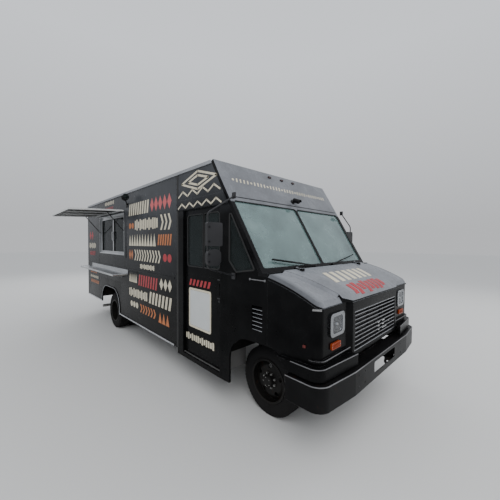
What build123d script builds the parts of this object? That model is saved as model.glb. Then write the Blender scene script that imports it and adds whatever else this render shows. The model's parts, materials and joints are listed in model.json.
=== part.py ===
from build123d import *
from math import cos, radians, sin, tan
import os

# A walk-in step van fitted out as a food truck, in millimetres.
# While it is modelled, the front axle is at y = 0, the front faces -Y, the kerb side is -X,
# and the floor it stands on is z = 0. At the end every piece moves so that the origin is the
# middle of the whole part's footprint.

# Body
HALF_WIDTH = 1220
ROOF_TOP = 2961
RAIL_RISE = 46
WALL_TOP = ROOF_TOP - RAIL_RISE
ROOF_CROWN = 24
ROOF_THICK = 30
RAIL_WIDTH = 30
RAIL_PROUD = 4
GUTTER = 8
ROOF_BOWS = 4
BOW_START = 400
BOW_DROP = 22
SKIN = 25
LINING = 35
REAR_END = 6500
REAR_FRAME_THICK = 60
SKIRT_FRONT = 445
SKIRT_REAR = 530
SEAM_Y = 1450
BELT_Z = 1430
BELT_HEIGHT = 26
TRIM_PROUD = 9
TRIM_START = 90
TRIM_END = 40
RUB_HEIGHT = 30
FLOOR_TOP = 860
FLOOR_THICK = 30

# Cab and windscreen
SCREEN_LEAN = 31.2
SCREEN_FOOT_Z = 1660
SCREEN_FOOT_Y = -187
SCREEN_THICK = 45
GLASS_THICK = 8
GLASS_TOP_Z = 2445
GLASS_FOOT_Z = 1700
GLASS_CORNER = 34
SCREEN_DIVIDER = 26
SCREEN_POST = 52
TAPER_START_Y = 450
TAPER_END_Y = -750
TAPER = 70
CAB_FRONT_Y = -250
COWL_THICK = 30

# Nose
NOSE_FRONT_Y = -820
NOSE_FOOT_Z = 897
NOSE_TOP_REAR_Z = 1652
NOSE_TOP_MID = (-560, 1560)
NOSE_TOP_FRONT = (-790, 1455)
NOSE_SKIN = 22
NOSE_CORNER = 70
SHOULDER = 26
HOOD_SKIRT = 46
HOOD_GAP = 6
HOOD_RAISE = 26
HOOD_PANEL_REAR = 930
HOOD_PANEL_FRONT = 760
HOOD_REAR = CAB_FRONT_Y - HOOD_GAP
HOOD_HINGE_X = (-700, 700)
HOOD_HINGE_RADIUS = 9
HOOD_HINGE_PIN = 5
HOOD_LUG = 20
HOOD_AXIS = (CAB_FRONT_Y - 2, NOSE_TOP_REAR_Z + HOOD_RAISE + 12)
SNOUT_HALF = 610
SNOUT_ROOT = 740
SNOUT_FRONT_Y = -858
SNOUT_TOP_Z = 1388
SNOUT_FOOT_Z = 859
GRILLE_HALF = 572
GRILLE_TOP_Z = 1300
GRILLE_FOOT_Z = 895
GRILLE_FRAME = 16
GRILLE_DEPTH = 40
GRILLE_BARS = 8
BAR_HEIGHT = 15
BAR_DEPTH = 22
LEDGE_Z = (942, 960)
LEDGE_PROUD = 26
LEDGE_REAR_Y = -730
VALANCE_HALF = HALF_WIDTH - 6
VALANCE_FRONT_Y = -914
VALANCE_SWEEP_Y = -862
VALANCE_CORNER = 104
VALANCE_INNER = 612
VALANCE_Z = (800, 905)
VALANCE_SHEET = 8

# Lamps
LAMP_X = 868
LAMP_WIDTH = 256
LAMP_HEIGHT = 214
LAMP_Z = 1230
LENS_WIDTH = 172
LENS_HEIGHT = 152
TURN_X = 890
TURN_Z = 1040
TURN_WIDTH = 162
TURN_HEIGHT = 58
LAMP_PROUD = 18
LAMP_CORNER = 44
LENS_CORNER = 26
TURN_RIM = 14
TURN_CORNER = 8
MARKER_X = (-270, 0, 270)
MARKER_Z = WALL_TOP - 23
MARKER_SIZE = (64, 30, 14)
SIDE_MARKER = (-676, 1055)
SIDE_MARKER_HALF = (14, 12)
TAIL_X = 1010
TAIL_Z = (930, 1060)
TAIL_RADIUS = 52
TAIL_PROUD = 22
REAR_MARKER_X = (-180, 0, 180)

# Front bumper
BUMPER_FRONT_Y = -950
BUMPER_HALF_FLAT = 735
BUMPER_SWEEP_Y = -898
BUMPER_HALF = HALF_WIDTH + 26
BUMPER_TAIL_Y = -530
BUMPER_TOP_Z = 780
BUMPER_FOOT_Z = 562
BUMPER_SHEET = 8
BUMPER_DEPTH = 150
BUMPER_LIP = 40
BUMPER_CORNER = 128
TIGHT_CORNER = 10
STEP_HOLE_HALF = 300
STEP_HOLE_FOOT = 625
STEP_HOLE_TOP = 742
STEP_HOLE_CORNER = 24
PLATE_SPACING = 178
PLATE_HOLE = 3.5
PLATE_Z = 602

# Wheels
WHEELBASE = 4550
TYRE_RADIUS = 392
TYRE_WIDTH = 222
RIM_RADIUS = 247
FRONT_TRACK_HALF = 785
REAR_TRACK_HALF = 878
TWIN_HALF = 140
KINGPIN_X = 690
KINGPIN_RADIUS = 20
SPINDLE_RADIUS = 30
REAR_SPINDLE_RADIUS = 38
HUB_RADIUS = 105
RUN = 0.05
SEAT = 0.3
HAND_HOLES = 5

# Wheel arches, measured on the body side
FRONT_ARCH_REAR = 297
FRONT_ARCH_FRONT = -560
FRONT_ARCH_TOP = 938
FRONT_ARCH_ROUND = 290
REAR_ARCH_HALF = 640
REAR_ARCH_TOP = 950
REAR_ARCH_ROUND = 400
HOUSING_SHEET = 5
HOUSING_FOOT = 640
FRONT_HOUSING_INNER = 452
FRONT_HOUSING_TOP = FRONT_ARCH_TOP + 12
REAR_HOUSING_INNER = 560
REAR_HOUSING_TOP = REAR_ARCH_TOP + 14
REAR_HOUSING_Y = (WHEELBASE - REAR_ARCH_HALF - 14, WHEELBASE + REAR_ARCH_HALF + 14)
ARCH_LIP = 22
ARCH_PANEL_SIDE = 90
ARCH_PANEL_RISE = 180

# Cab doors
DOOR_FRONT = 460
FRONT_HOUSING_Y = (FRONT_ARCH_FRONT - 40, DOOR_FRONT - 8)
DOOR_REAR = 1300
DOOR_TOP = 2400
SILL_TOP = 430
SILL_FOOT = 372
DOOR_RECESS = 40
DOOR_THICK = 35
DOOR_LAP = 36
DOOR_GAP = 8
DOOR_RISE = 44
DOOR_TRAVEL = 800
POCKET_END = 2330
DOOR_WINDOW = (520, 1250, 1640, 2335)
DOOR_WINDOW_BAR = 861
BAND_HEIGHT = 155
BAND_PROUD = 16
TRACK_DEPTH = 22
TRACK_HEIGHT = 28
TRACK_TOP = DOOR_TOP + DOOR_RISE - 6
DOOR_WINDOW_CORNER = 45
WINDOW_BAR_HALF = 13
DOOR_HANDLE_Z = (1330, 1480)
HANGER_TOP = TRACK_TOP + 20
HANGER_WIDTH = 60
STEP_INNER = 800
MID_STEP_X = 1000
MID_STEP_Z = 640
STEP_SHEET = 6

# Serving side
WINDOW = (3620, 5320, 1700, 2555)
RIM_WIDTH = 95
RIM_PROUD = 8
FRAME_JAMB = 60
FRAME_FRONT_JAMB = 120
FRAME_DEPTH = 45
FRAME_RECESS = 34
MULLION_Y = 4420
MULLION = 60
SILL_RISE = 50
HATCH_LENGTH = 925
HATCH_THICK = 30
HATCH_OPEN = 87.5
HATCH_GAP = 6
HATCH_SIDE = 60
HINGE_RADIUS = 8
STAY_PIN = 300
STAY_SINK = 10
STAY_RADIUS = 8
STAY_FOOT_Z = 2190
STAY_FOOT_X = HALF_WIDTH + 2
STAY_EYE_RADIUS = 11
STAY_PIN_RADIUS = 4
HATCH_INNER = HALF_WIDTH + RIM_PROUD + HATCH_GAP
HATCH_AXIS_X = HATCH_INNER + 10
HATCH_AXIS_Z = WINDOW[3] + 36
HINGE_PIN = 3.5
KNUCKLES = 7
HATCH_LAND = 12
HATCH_RIM = 34
HATCH_RIB = 36
HATCH_SHEET = 6
SHELF = (3430, 6050)
SHELF_Z = 1345
SHELF_DEPTH = 276
SHELF_THICK = 30
SHELF_SHEET = 4
SHELF_BACK = 76
BRACKETS = (3740, 4740, 5740)
BRACKET_DROP = 92

# Rear doors
REAR_OPEN_HALF = 800
REAR_OPEN_TOP = 2550
REAR_DOOR_THICK = 40
REAR_DOOR_GAP = 6
REAR_PIN_OUT = 14
REAR_PANEL_INSET = 90
REAR_PANEL_DEPTH = 8
REAR_STOP = 24
REAR_HINGE_Z = (1010, 1700, 2400)
REAR_KNUCKLE = 60
REAR_HINGE_X = REAR_OPEN_HALF + 10
REAR_HINGE_Y = REAR_END + REAR_PIN_OUT
REAR_HINGE_RADIUS = 10
REAR_HINGE_PIN = 5
REAR_LEAF = 7
REAR_HANDLE_Z = (1340, 1480)

# Chassis
RAIL_X = 395
RAIL_FLANGE = 65
RAIL_TOP = 760
RAIL_HEIGHT = 200
RAIL_SHEET = 8
RAIL_FRONT = -900
RAIL_REAR = 6440
CROSSMEMBERS = (-640, 1120, 1900, 3150, 3960, 5250, 6200)
CROSS_HEIGHT = 62
BEARERS = (700, 1250, 1900, 2600, 3300, 5400, 6050)


def span(x, y, z):
    """Box between low and high limits on each axis."""
    size = (x[1] - x[0], y[1] - y[0], z[1] - z[0])
    middle = ((x[0] + x[1]) / 2, (y[0] + y[1]) / 2, (z[0] + z[1]) / 2)
    return Pos(*middle) * Box(*size)


def side_prism(points, x):
    """Outline in the side view, as (y, z) points, between two x places."""
    return side_solid(make_face(Polyline(*points, close=True)), x)


def side_solid(face, x):
    return Pos(x[0], 0, 0) * extrude(Plane.YZ * face, x[1] - x[0])


def front_solid(face, y):
    """Face drawn in the front view, as (x, z), between two y places."""
    return Pos(0, y[1], 0) * extrude(Plane.XZ * face, y[1] - y[0])


def plan_solid(face, z):
    """Face drawn from above, as (x, y), between two heights."""
    return Pos(0, 0, z[0]) * extrude(face, z[1] - z[0])


def rounded(u, v, radius):
    """Rounded rectangle between low and high limits."""
    middle = Pos((u[0] + u[1]) / 2, (v[0] + v[1]) / 2)
    return middle * RectangleRounded(u[1] - u[0], v[1] - v[0], radius)


def mirrored(shape):
    """The same shape on the other side of the vehicle."""
    return mirror(shape, about=Plane.YZ)


def rod(start, end, radius):
    """Round bar from one point to another."""
    path = Vector(*end) - Vector(*start)
    plane = Plane(origin=start, z_dir=path)
    return extrude(plane * Circle(radius), path.length)


def joined(pieces):
    """Fuse touching solids into one piece."""
    whole = pieces[0]
    for piece in pieces[1:]:
        whole = whole + piece
    return whole


def group(pieces):
    """Several solids that share a node."""
    solids = []
    for piece in pieces:
        solids.extend(piece.solids())
    return Compound(solids)


def round_path(points, radius, bend):
    """Round bar along straight runs joined by arcs."""
    wire = FilletPolyline(*points, radius=bend)
    start = Plane(origin=points[0], z_dir=Vector(*points[1]) - Vector(*points[0]))
    return sweep(start * Circle(radius), path=wire)


# Shapes that several pieces share

SLOPE = tan(radians(SCREEN_LEAN))
SCREEN_PLANE = Plane(
    origin=(0, SCREEN_FOOT_Y, SCREEN_FOOT_Z),
    x_dir=(1, 0, 0),
    z_dir=(0, -cos(radians(SCREEN_LEAN)), sin(radians(SCREEN_LEAN))),
)
SCREEN_SET_BACK = SCREEN_THICK / cos(radians(SCREEN_LEAN))
TAPER_TOP_Z = SCREEN_FOOT_Z + (TAPER_START_Y - SCREEN_FOOT_Y) / SLOPE
REACH = 4000


def screen_y(z):
    """Place of the cab front's outer face at a height."""
    return SCREEN_FOOT_Y + (z - SCREEN_FOOT_Z) * SLOPE


def behind_screen():
    """Everything behind the inner face of the cab front."""
    back = SCREEN_SET_BACK
    points = [
        (screen_y(SCREEN_FOOT_Z) + back, SCREEN_FOOT_Z),
        (screen_y(ROOF_TOP + 200) + back, ROOF_TOP + 200),
        (REAR_END + REACH, ROOF_TOP + 200),
        (REAR_END + REACH, 0),
        (CAB_FRONT_Y, 0),
        (CAB_FRONT_Y, SCREEN_FOOT_Z),
    ]
    return side_prism(points, (-REACH, REACH))


def half_width(y):
    """Half width of the body, which narrows towards the front."""
    if y >= TAPER_START_Y:
        return HALF_WIDTH
    share = (TAPER_START_Y - y) / (TAPER_START_Y - TAPER_END_Y)
    return HALF_WIDTH - TAPER * share


def side_strip(inset, depth, y, z):
    """Strip that follows the left body side, inset from its face, between two places."""
    ends = [y[0]] + [p for p in (TAPER_START_Y,) if y[0] < p < y[1]] + [y[1]]
    outer = [(half_width(p) - inset, p) for p in ends]
    inner = [(half_width(p) - inset - depth, p) for p in reversed(ends)]
    return plan_solid(make_face(Polyline(*outer, *inner, close=True)), z)


def front_arch():
    """Front wheel arch in the side view, as a cut."""
    y = (FRONT_ARCH_FRONT, FRONT_ARCH_REAR)
    face = rounded(y, (-FRONT_ARCH_TOP, FRONT_ARCH_TOP), FRONT_ARCH_ROUND)
    return side_solid(face, (-REACH, REACH))


def rear_arch():
    """Rear wheel arch in the side view, as a cut."""
    y = (WHEELBASE - REAR_ARCH_HALF, WHEELBASE + REAR_ARCH_HALF)
    face = rounded(y, (-REAR_ARCH_TOP, REAR_ARCH_TOP), REAR_ARCH_ROUND)
    return side_solid(face, (-REACH, REACH))


# Wheels and axles

def tyre(x):
    """One tyre with its middle plane at x, turning about the X axis through the axle."""
    half = TYRE_WIDTH / 2
    bead = RIM_RADIUS - 14
    collar = RIM_RADIUS + 2
    bulge = (collar + TYRE_RADIUS) / 2 - 6
    edge = TYRE_RADIUS - 26
    line = [
        Line((-half + 14, bead), (half - 14, bead)),
        Line((half - 14, bead), (half - 14, collar)),
        ThreePointArc((half - 14, collar), (half, bulge), (half - 10, edge)),
        Line((half - 10, edge), (half - 30, TYRE_RADIUS)),
        Line((half - 30, TYRE_RADIUS), (-half + 30, TYRE_RADIUS)),
        Line((-half + 30, TYRE_RADIUS), (-half + 10, edge)),
        ThreePointArc((-half + 10, edge), (-half, bulge), (-half + 14, collar)),
        Line((-half + 14, collar), (-half + 14, bead)),
    ]
    return Pos(x, 0, TYRE_RADIUS) * revolve(make_face(line), Axis.X, 360)


RIM_SHEET = 9
RIM_BORE = RIM_RADIUS - 14 - SEAT - RIM_SHEET


def rim_barrel(x):
    """The rim's ring, which fills the tyre's bore and laps its beads."""
    bead = TYRE_WIDTH / 2 - 14
    flange = bead + 10
    line = [
        (-flange, RIM_RADIUS),
        (-bead - SEAT, RIM_RADIUS),
        (-bead - SEAT, RIM_BORE + RIM_SHEET),
        (bead + SEAT, RIM_BORE + RIM_SHEET),
        (bead + SEAT, RIM_RADIUS),
        (flange, RIM_RADIUS),
        (flange, RIM_BORE),
        (-flange, RIM_BORE),
    ]
    return Pos(x, 0, 0) * revolve(make_face(Polyline(*line, close=True)), Axis.X, 360)


def disc(flat, edge, bore):
    """Pressed disc: flat round the hub and coned out to the rim, with hand holes."""
    line = [
        (edge, RIM_BORE + 2),
        (flat, RIM_BORE - 58),
        (flat, bore),
        (flat - RIM_SHEET, bore),
        (flat - RIM_SHEET, RIM_BORE - 58),
        (edge - RIM_SHEET, RIM_BORE + 2),
    ]
    plate = revolve(make_face(Polyline(*line, close=True)), Axis.X, 360)
    for number in range(HAND_HOLES):
        hole = Pos(flat, 0, RIM_BORE - 62) * Rot(0, 90, 0) * Cylinder(26, 160)
        plate = plate - Rot(360 / HAND_HOLES * number, 0, 0) * hole
    return plate


def hub(start, flange, end, bore):
    """Hub barrel with its wheel flange and a stepped cap."""
    line = [
        (start, bore),
        (start, HUB_RADIUS - 25),
        (flange - 22, HUB_RADIUS - 25),
        (flange - 22, HUB_RADIUS),
        (flange, HUB_RADIUS),
        (flange, HUB_RADIUS - 32),
        (end - CAP_DEPTH, HUB_RADIUS - 40),
        (end, HUB_RADIUS - 52),
        (end, 0),
        (end - 10, 0),
        (end - 10, bore),
    ]
    return revolve(make_face(Polyline(*line, close=True)), Axis.X, 360)


FRONT_DISC = FRONT_TRACK_HALF + 62
FRONT_HUB_START = FRONT_TRACK_HALF - 32
FRONT_HUB_END = FRONT_DISC + 62
TWIN_OUTER = REAR_TRACK_HALF + TWIN_HALF
TWIN_INNER = REAR_TRACK_HALF - TWIN_HALF
REAR_HUB_START = REAR_TRACK_HALF - 96
REAR_HUB_END = REAR_TRACK_HALF + 120


def front_wheel():
    """Rim, disc and hub of the left front wheel; the disc bulges outward."""
    bore = SPINDLE_RADIUS + RUN
    inner = FRONT_DISC - RIM_SHEET
    pieces = [
        rim_barrel(FRONT_TRACK_HALF),
        disc(FRONT_DISC, FRONT_DISC - 36, HUB_RADIUS - 34),
        hub(FRONT_HUB_START, inner, FRONT_HUB_END, bore),
    ]
    return Pos(0, 0, TYRE_RADIUS) * joined(pieces)


def rear_wheel():
    """Twin rims of the left side, bolted back to back on one hub."""
    bore = REAR_SPINDLE_RADIUS + RUN
    flat = REAR_TRACK_HALF
    pieces = [
        rim_barrel(TWIN_OUTER),
        rim_barrel(TWIN_INNER),
        disc(flat + RIM_SHEET, flat + RIM_SHEET + 38, HUB_RADIUS - 34),
        disc(flat, flat - 38, HUB_RADIUS - 34),
        hub(REAR_HUB_START, flat - RIM_SHEET, REAR_HUB_END, bore),
    ]
    return Pos(0, WHEELBASE, TYRE_RADIUS) * joined(pieces)


def rear_tyres():
    return Pos(0, WHEELBASE, 0) * group([tyre(TWIN_OUTER), tyre(TWIN_INNER)])


KNUCKLE_HALF = 78
AXLE_BOSS = 46
KNUCKLE_EAR = 26
STEER_ARM = 190
CAP_DEPTH = 14
BEAM_DROP = 70
BEAM_HALF = 45
SPRING_X = RAIL_X
SPRING_PAD_FRONT = TYRE_RADIUS - 5
SPRING_WIDTH = 70
LEAF = 12
LEAF_SHORTER = 0.16
SPRING_EYE = 22
SPRING_RISE = 100
FRONT_SPRING_HALF = 560
REAR_SPRING_HALF = 640
REAR_AXLE_RADIUS = 62
REAR_SPRING_X = RAIL_X + (RAIL_FLANGE + SPRING_WIDTH) / 2 + 6


def knuckle():
    """Left steering knuckle: two ears, the kingpin between them and the wheel's spindle."""
    ears = []
    for side in (-1, 1):
        middle = TYRE_RADIUS + side * (KNUCKLE_HALF - KNUCKLE_EAR / 2)
        ears.append(Pos(KINGPIN_X, 0, middle) * Cylinder(AXLE_BOSS, KNUCKLE_EAR))
    pin = Pos(KINGPIN_X, 0, TYRE_RADIUS) * Cylinder(KINGPIN_RADIUS, 2 * KNUCKLE_HALF)
    low = TYRE_RADIUS - KNUCKLE_HALF
    seat = KINGPIN_X + 56
    web = span((seat - 22, seat), (-44, 44), (low, TYRE_RADIUS + KNUCKLE_HALF))
    room = Cylinder(AXLE_BOSS + 4, 2 * (KNUCKLE_HALF - KNUCKLE_EAR))
    web = web - Pos(KINGPIN_X, 0, TYRE_RADIUS) * room
    start = (seat - 2, 0, TYRE_RADIUS)
    shaft = rod(start, (FRONT_HUB_END - CAP_DEPTH, 0, TYRE_RADIUS), SPINDLE_RADIUS)
    collar = rod(start, (FRONT_HUB_START - SEAT, 0, TYRE_RADIUS), SPINDLE_RADIUS + 18)
    arm = span((KINGPIN_X - 18, KINGPIN_X + 18), (30, STEER_ARM), (low - 14, low + 8))
    return joined(ears + [pin, web, shaft, collar, arm])


def front_axle():
    """Forged beam with an eye at each end for the kingpins and pads for the springs."""
    drop = TYRE_RADIUS - BEAM_DROP
    half = KINGPIN_X - 110
    beam = span((-half, half), (-38, 38), (drop - BEAM_HALF, drop + BEAM_HALF))
    for side in (-1, 1):
        y = sorted((side * 16, side * 60))
        beam = beam - span((-half - 1, half + 1), y, (drop - 27, drop + 27))
    reach = KNUCKLE_HALF - KNUCKLE_EAR - SEAT
    ends = []
    for side in (-1, 1):
        place = Pos(side * KINGPIN_X, 0, TYRE_RADIUS)
        neck_x = KINGPIN_X - AXLE_BOSS - 12
        outline = [
            (side * (half - 30), drop - BEAM_HALF),
            (side * (half - 30), drop + BEAM_HALF),
            (side * neck_x, TYRE_RADIUS + reach),
            (side * KINGPIN_X, TYRE_RADIUS + reach),
            (side * KINGPIN_X, TYRE_RADIUS - reach),
            (side * neck_x, TYRE_RADIUS - reach),
        ]
        neck = front_solid(make_face(Polyline(*outline, close=True)), (-30, 30))
        pad_x = sorted((side * (SPRING_X - 48), side * (SPRING_X + 48)))
        pad = span(pad_x, (-70, 70), (drop + BEAM_HALF - 5, SPRING_PAD_FRONT))
        hole = place * Cylinder(KINGPIN_RADIUS + RUN, 4 * KNUCKLE_HALF)
        ends.append(place * Cylinder(AXLE_BOSS, 2 * reach) + neck + pad - hole)
    return joined([beam] + ends)


def spring_pack(x, y, half, leaves, pad, eye_z):
    """Leaf pack on an axle pad: an arc that rises to an eye at each end."""
    rise = eye_z - pad
    solids = []
    for number in range(leaves):
        share = 1 - number * LEAF_SHORTER
        reach = half * share
        low = pad + number * LEAF
        lift = rise * share * share
        top = low + LEAF
        line = [
            ThreePointArc((y - reach, low + lift), (y, low), (y + reach, low + lift)),
            Line((y + reach, low + lift), (y + reach, top + lift)),
            ThreePointArc((y + reach, top + lift), (y, top), (y - reach, top + lift)),
            Line((y - reach, top + lift), (y - reach, low + lift)),
        ]
        solids.append(side_solid(make_face(line), (x - SPRING_WIDTH / 2, x + SPRING_WIDTH / 2)))
    return solids


def spring(x, y, half, leaves, pad, hanger_top):
    """One leaf spring with its eyes, hangers and clamp, fused."""
    eye_z = pad + SPRING_RISE
    pack = joined(spring_pack(x, y, half, leaves, pad, eye_z))
    width = (x - SPRING_WIDTH / 2 - 6, x + SPRING_WIDTH / 2 + 6)
    ends = []
    for side in (-1, 1):
        centre = (y + side * half, eye_z + LEAF)
        eye = rod((width[0], *centre), (width[1], *centre), SPRING_EYE)
        hanger = span(width, (centre[0] - 26, centre[0] + 26), (centre[1], hanger_top))
        ends.extend([eye, hanger])
    clamp = span(width, (y - 60, y + 60), (pad, pad + leaves * LEAF + 16))
    return joined([pack, clamp] + ends)


def springs():
    """Four leaf springs, hung under the frame rails in front and beside them at the rear."""
    pieces = []
    for side in (-1, 1):
        front_top = RAIL_TOP - RAIL_HEIGHT
        rear_pad = TYRE_RADIUS + REAR_AXLE_RADIUS + REAR_PAD
        rear_top = RAIL_TOP - 40
        x = side * REAR_SPRING_X
        pieces.append(spring(side * SPRING_X, 0, FRONT_SPRING_HALF, 3, SPRING_PAD_FRONT, front_top))
        pieces.append(spring(x, WHEELBASE, REAR_SPRING_HALF, 4, rear_pad, rear_top))
    return group(pieces)


REAR_PAD = 14
DIFF_RADIUS = 165
DIFF_HALF = 120
PINION_REACH = DIFF_RADIUS + 125
PINION_Y = WHEELBASE - PINION_REACH
PINION_Z = TYRE_RADIUS + 30


def rear_axle():
    """Tube with the differential, spring pads and a spindle at each end."""
    y = WHEELBASE
    z = TYRE_RADIUS
    inner = REAR_HUB_START - SEAT
    tube = rod((-inner, y, z), (inner, y, z), REAR_AXLE_RADIUS)
    ends = []
    for side in (-1, 1):
        tip = REAR_HUB_END - CAP_DEPTH
        ends.append(rod((side * (inner - 20), y, z), (side * tip, y, z), REAR_SPINDLE_RADIUS))
    line = [
        Line((-DIFF_HALF, 0), (DIFF_HALF, 0)),
        ThreePointArc((DIFF_HALF, 0), (0, DIFF_RADIUS), (-DIFF_HALF, 0)),
    ]
    ball = Pos(0, y, z) * revolve(make_face(line), Axis.X, 360)
    nose_cone = rod((0, y - 90, PINION_Z), (0, PINION_Y, PINION_Z), 58)
    pads = []
    for side in (-1, 1):
        x = sorted((side * (REAR_SPRING_X - 44), side * (REAR_SPRING_X + 44)))
        pads.append(span(x, (y - 70, y + 70), (z, z + REAR_AXLE_RADIUS + REAR_PAD)))
    return joined([tube, ball, nose_cone] + pads + ends)


# Chassis

def chassis_frame():
    """Ladder frame: two channel rails with crossmembers between them."""
    low = RAIL_TOP - RAIL_HEIGHT
    rails = []
    for side in (-1, 1):
        outer = RAIL_X + RAIL_FLANGE / 2
        inner = RAIL_X - RAIL_FLANGE / 2
        rail = span((inner, outer), (RAIL_FRONT, RAIL_REAR), (low, RAIL_TOP))
        hollow = span(
            (inner - 1, outer - RAIL_SHEET),
            (RAIL_FRONT - 1, RAIL_REAR + 1),
            (low + RAIL_SHEET, RAIL_TOP - RAIL_SHEET),
        )
        rail = rail - hollow
        rails.append(rail if side > 0 else mirrored(rail))
    bars = []
    web = RAIL_X + RAIL_FLANGE / 2 - RAIL_SHEET - SEAT
    top = RAIL_TOP - RAIL_SHEET - SEAT
    for y in CROSSMEMBERS:
        bars.append(span((-web, web), (y - 35, y + 35), (top - CROSS_HEIGHT, top)))
    return group(rails + bars + tow_eyes())


ENGINE = (-560, 330, 660, 1180)
ENGINE_HALF = 270
GEARBOX_HALF = 110
GEARBOX = (550, 1030, 540, 750)
BELL_RADIUS = 150
SHAFT_RADIUS = 42


def engine():
    """Engine, gearbox and drive shaft as plain blocks, with the radiator in front."""
    y0, y1, low, top = ENGINE
    block = span((-ENGINE_HALF, ENGINE_HALF), (y0, y1), (low, top))
    sump = span((-ENGINE_HALF + 90, ENGINE_HALF - 90), (y0 + 120, y1 - 60), (low - 110, low + 1))
    g0, g1, g_low, g_top = GEARBOX
    axis = (g_low + g_top) / 2
    bell = rod((0, y1 - 1, axis + 30), (0, g0 + 1, axis + 10), BELL_RADIUS)
    box = span((-GEARBOX_HALF, GEARBOX_HALF), (g0, g1), (g_low, g_top))
    shaft = rod((0, g1 - 5, axis - 20), (0, PINION_Y + 5, PINION_Z), SHAFT_RADIUS)
    shaft = shaft & span((-100, 100), (g1 + SEAT, PINION_Y - SEAT), (0, REACH))
    mounts = []
    for side in (-1, 1):
        x = sorted((side * (ENGINE_HALF - 10), side * (RAIL_X - RAIL_FLANGE / 2)))
        mounts.append(span(x, (-180, -80), (RAIL_TOP - 60, RAIL_TOP - 5)))
    return group([joined([block, sump, bell, box] + mounts), shaft])


RADIATOR_HALF = 330
RADIATOR = (-742, -682)
RADIATOR_Z = (850, 1290)
HEADER_TANK = 40


def radiator():
    """Radiator core behind the grille, standing on brackets on the frame rails."""
    width = (-RADIATOR_HALF, RADIATOR_HALF)
    core = span(width, RADIATOR, RADIATOR_Z)
    tanks = []
    for z in (RADIATOR_Z[0] - HEADER_TANK + 10, RADIATOR_Z[1]):
        tanks.append(span(width, (RADIATOR[0] - 8, RADIATOR[1] + 8), (z, z + HEADER_TANK)))
    feet = []
    for side in (-1, 1):
        x = sorted((side * (RADIATOR_HALF - 20), side * (RAIL_X + 20)))
        feet.append(span(x, RADIATOR, (RAIL_TOP, RADIATOR_Z[0] + 10)))
    return joined([core] + tanks + feet)


TANK = (460, 930, 1950, 3050, 345, 700)
TANK_CORNER = 60
STRAP = 6


def fuel_tank():
    """Fuel tank beside the driver's side rail, with its straps hung from the rail."""
    x0, x1, y0, y1, low, top = TANK
    tank = front_solid(rounded((x0, x1), (low, top), TANK_CORNER), (y0, y1))
    loop = rounded((x0 - STRAP, x1 + STRAP), (low - STRAP, top + STRAP), TANK_CORNER + STRAP)
    straps = []
    for place in (y0 + 200, y1 - 200):
        y = (place - 25, place + 25)
        arm = span((RAIL_X + RAIL_FLANGE / 2, x0 + 20), y, (RAIL_TOP - 170, RAIL_TOP - 90))
        straps.extend([front_solid(loop, y), arm])
    return joined([tank] + straps)


PIPE_RADIUS = 34
MUFFLER_X = -620
MUFFLER = (2120, 2880)
MUFFLER_Z = 450
MUFFLER_RADIUS = 100
HANGER_Z = 630
PIPE_BEND = 100
PIPE_TOP_Z = 760
OVER_AXLE_X = -310
OVER_AXLE_Z = 560
TAILPIPE_Y = WHEELBASE + 790
TAILPIPE_Z = 372
TAILPIPE_END = -1165


def exhaust():
    """Down pipe, muffler and tailpipe, which leaves on the kerb side behind the wheel."""
    x = MUFFLER_X
    muffler = rod((x, MUFFLER[0], MUFFLER_Z), (x, MUFFLER[1], MUFFLER_Z), MUFFLER_RADIUS)
    straps = []
    for place in (MUFFLER[0] + 120, MUFFLER[1] - 120):
        y = (place - 20, place + 20)
        straps.append(span((x - 15, -RAIL_X - RAIL_FLANGE / 2), y, (HANGER_Z - 30, HANGER_Z)))
        straps.append(span((x - 15, x + 15), y, (MUFFLER_Z + MUFFLER_RADIUS - 20, HANGER_Z)))
    start_x = -ENGINE_HALF + 50
    down = [
        (start_x, ENGINE[1] + SEAT, PIPE_TOP_Z),
        (start_x, ENGINE[1] + 220, PIPE_TOP_Z),
        (start_x, 820, 500),
        (x, 1500, MUFFLER_Z),
        (x, MUFFLER[0] + 10, MUFFLER_Z),
    ]
    over = [
        (x, MUFFLER[1] - 10, MUFFLER_Z),
        (x, MUFFLER[1] + 260, 430),
        (OVER_AXLE_X, 3660, 440),
        (OVER_AXLE_X, 4110, OVER_AXLE_Z),
        (OVER_AXLE_X, WHEELBASE + 340, OVER_AXLE_Z),
        (OVER_AXLE_X - 40, TAILPIPE_Y, TAILPIPE_Z),
        (TAILPIPE_END, TAILPIPE_Y, TAILPIPE_Z),
    ]
    pipes = [round_path(line, PIPE_RADIUS, PIPE_BEND) for line in (down, over)]
    low = RAIL_TOP - RAIL_HEIGHT
    hanger = span((-RAIL_X - 20, -RAIL_X + 20), (TAILPIPE_Y - 15, TAILPIPE_Y + 15), (TAILPIPE_Z, low))
    return joined([muffler, hanger] + pipes + straps)


# Front bumper

def wrap_face(flat, front, sweep, side, tail, corner):
    """Wrap-round outline from above: flat front, swept ends and rounded corners."""
    half = [(flat, front), (side, sweep), (side, tail)]
    other = [(-x, y) for x, y in reversed(half)]
    face = make_face(Polyline(*other, *half, close=True))
    corners = [v for v in face.vertices() if abs(v.Y - sweep) < 0.01]
    return fillet(corners, max(corner, TIGHT_CORNER))


def bumper_region(inset, z):
    """Everything inside the bumper's outline at inset, between two heights."""
    face = wrap_face(
        BUMPER_HALF_FLAT,
        BUMPER_FRONT_Y + inset,
        BUMPER_SWEEP_Y + inset,
        BUMPER_HALF - inset,
        BUMPER_TAIL_Y,
        BUMPER_CORNER - inset,
    )
    return plan_solid(face, z)


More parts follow.
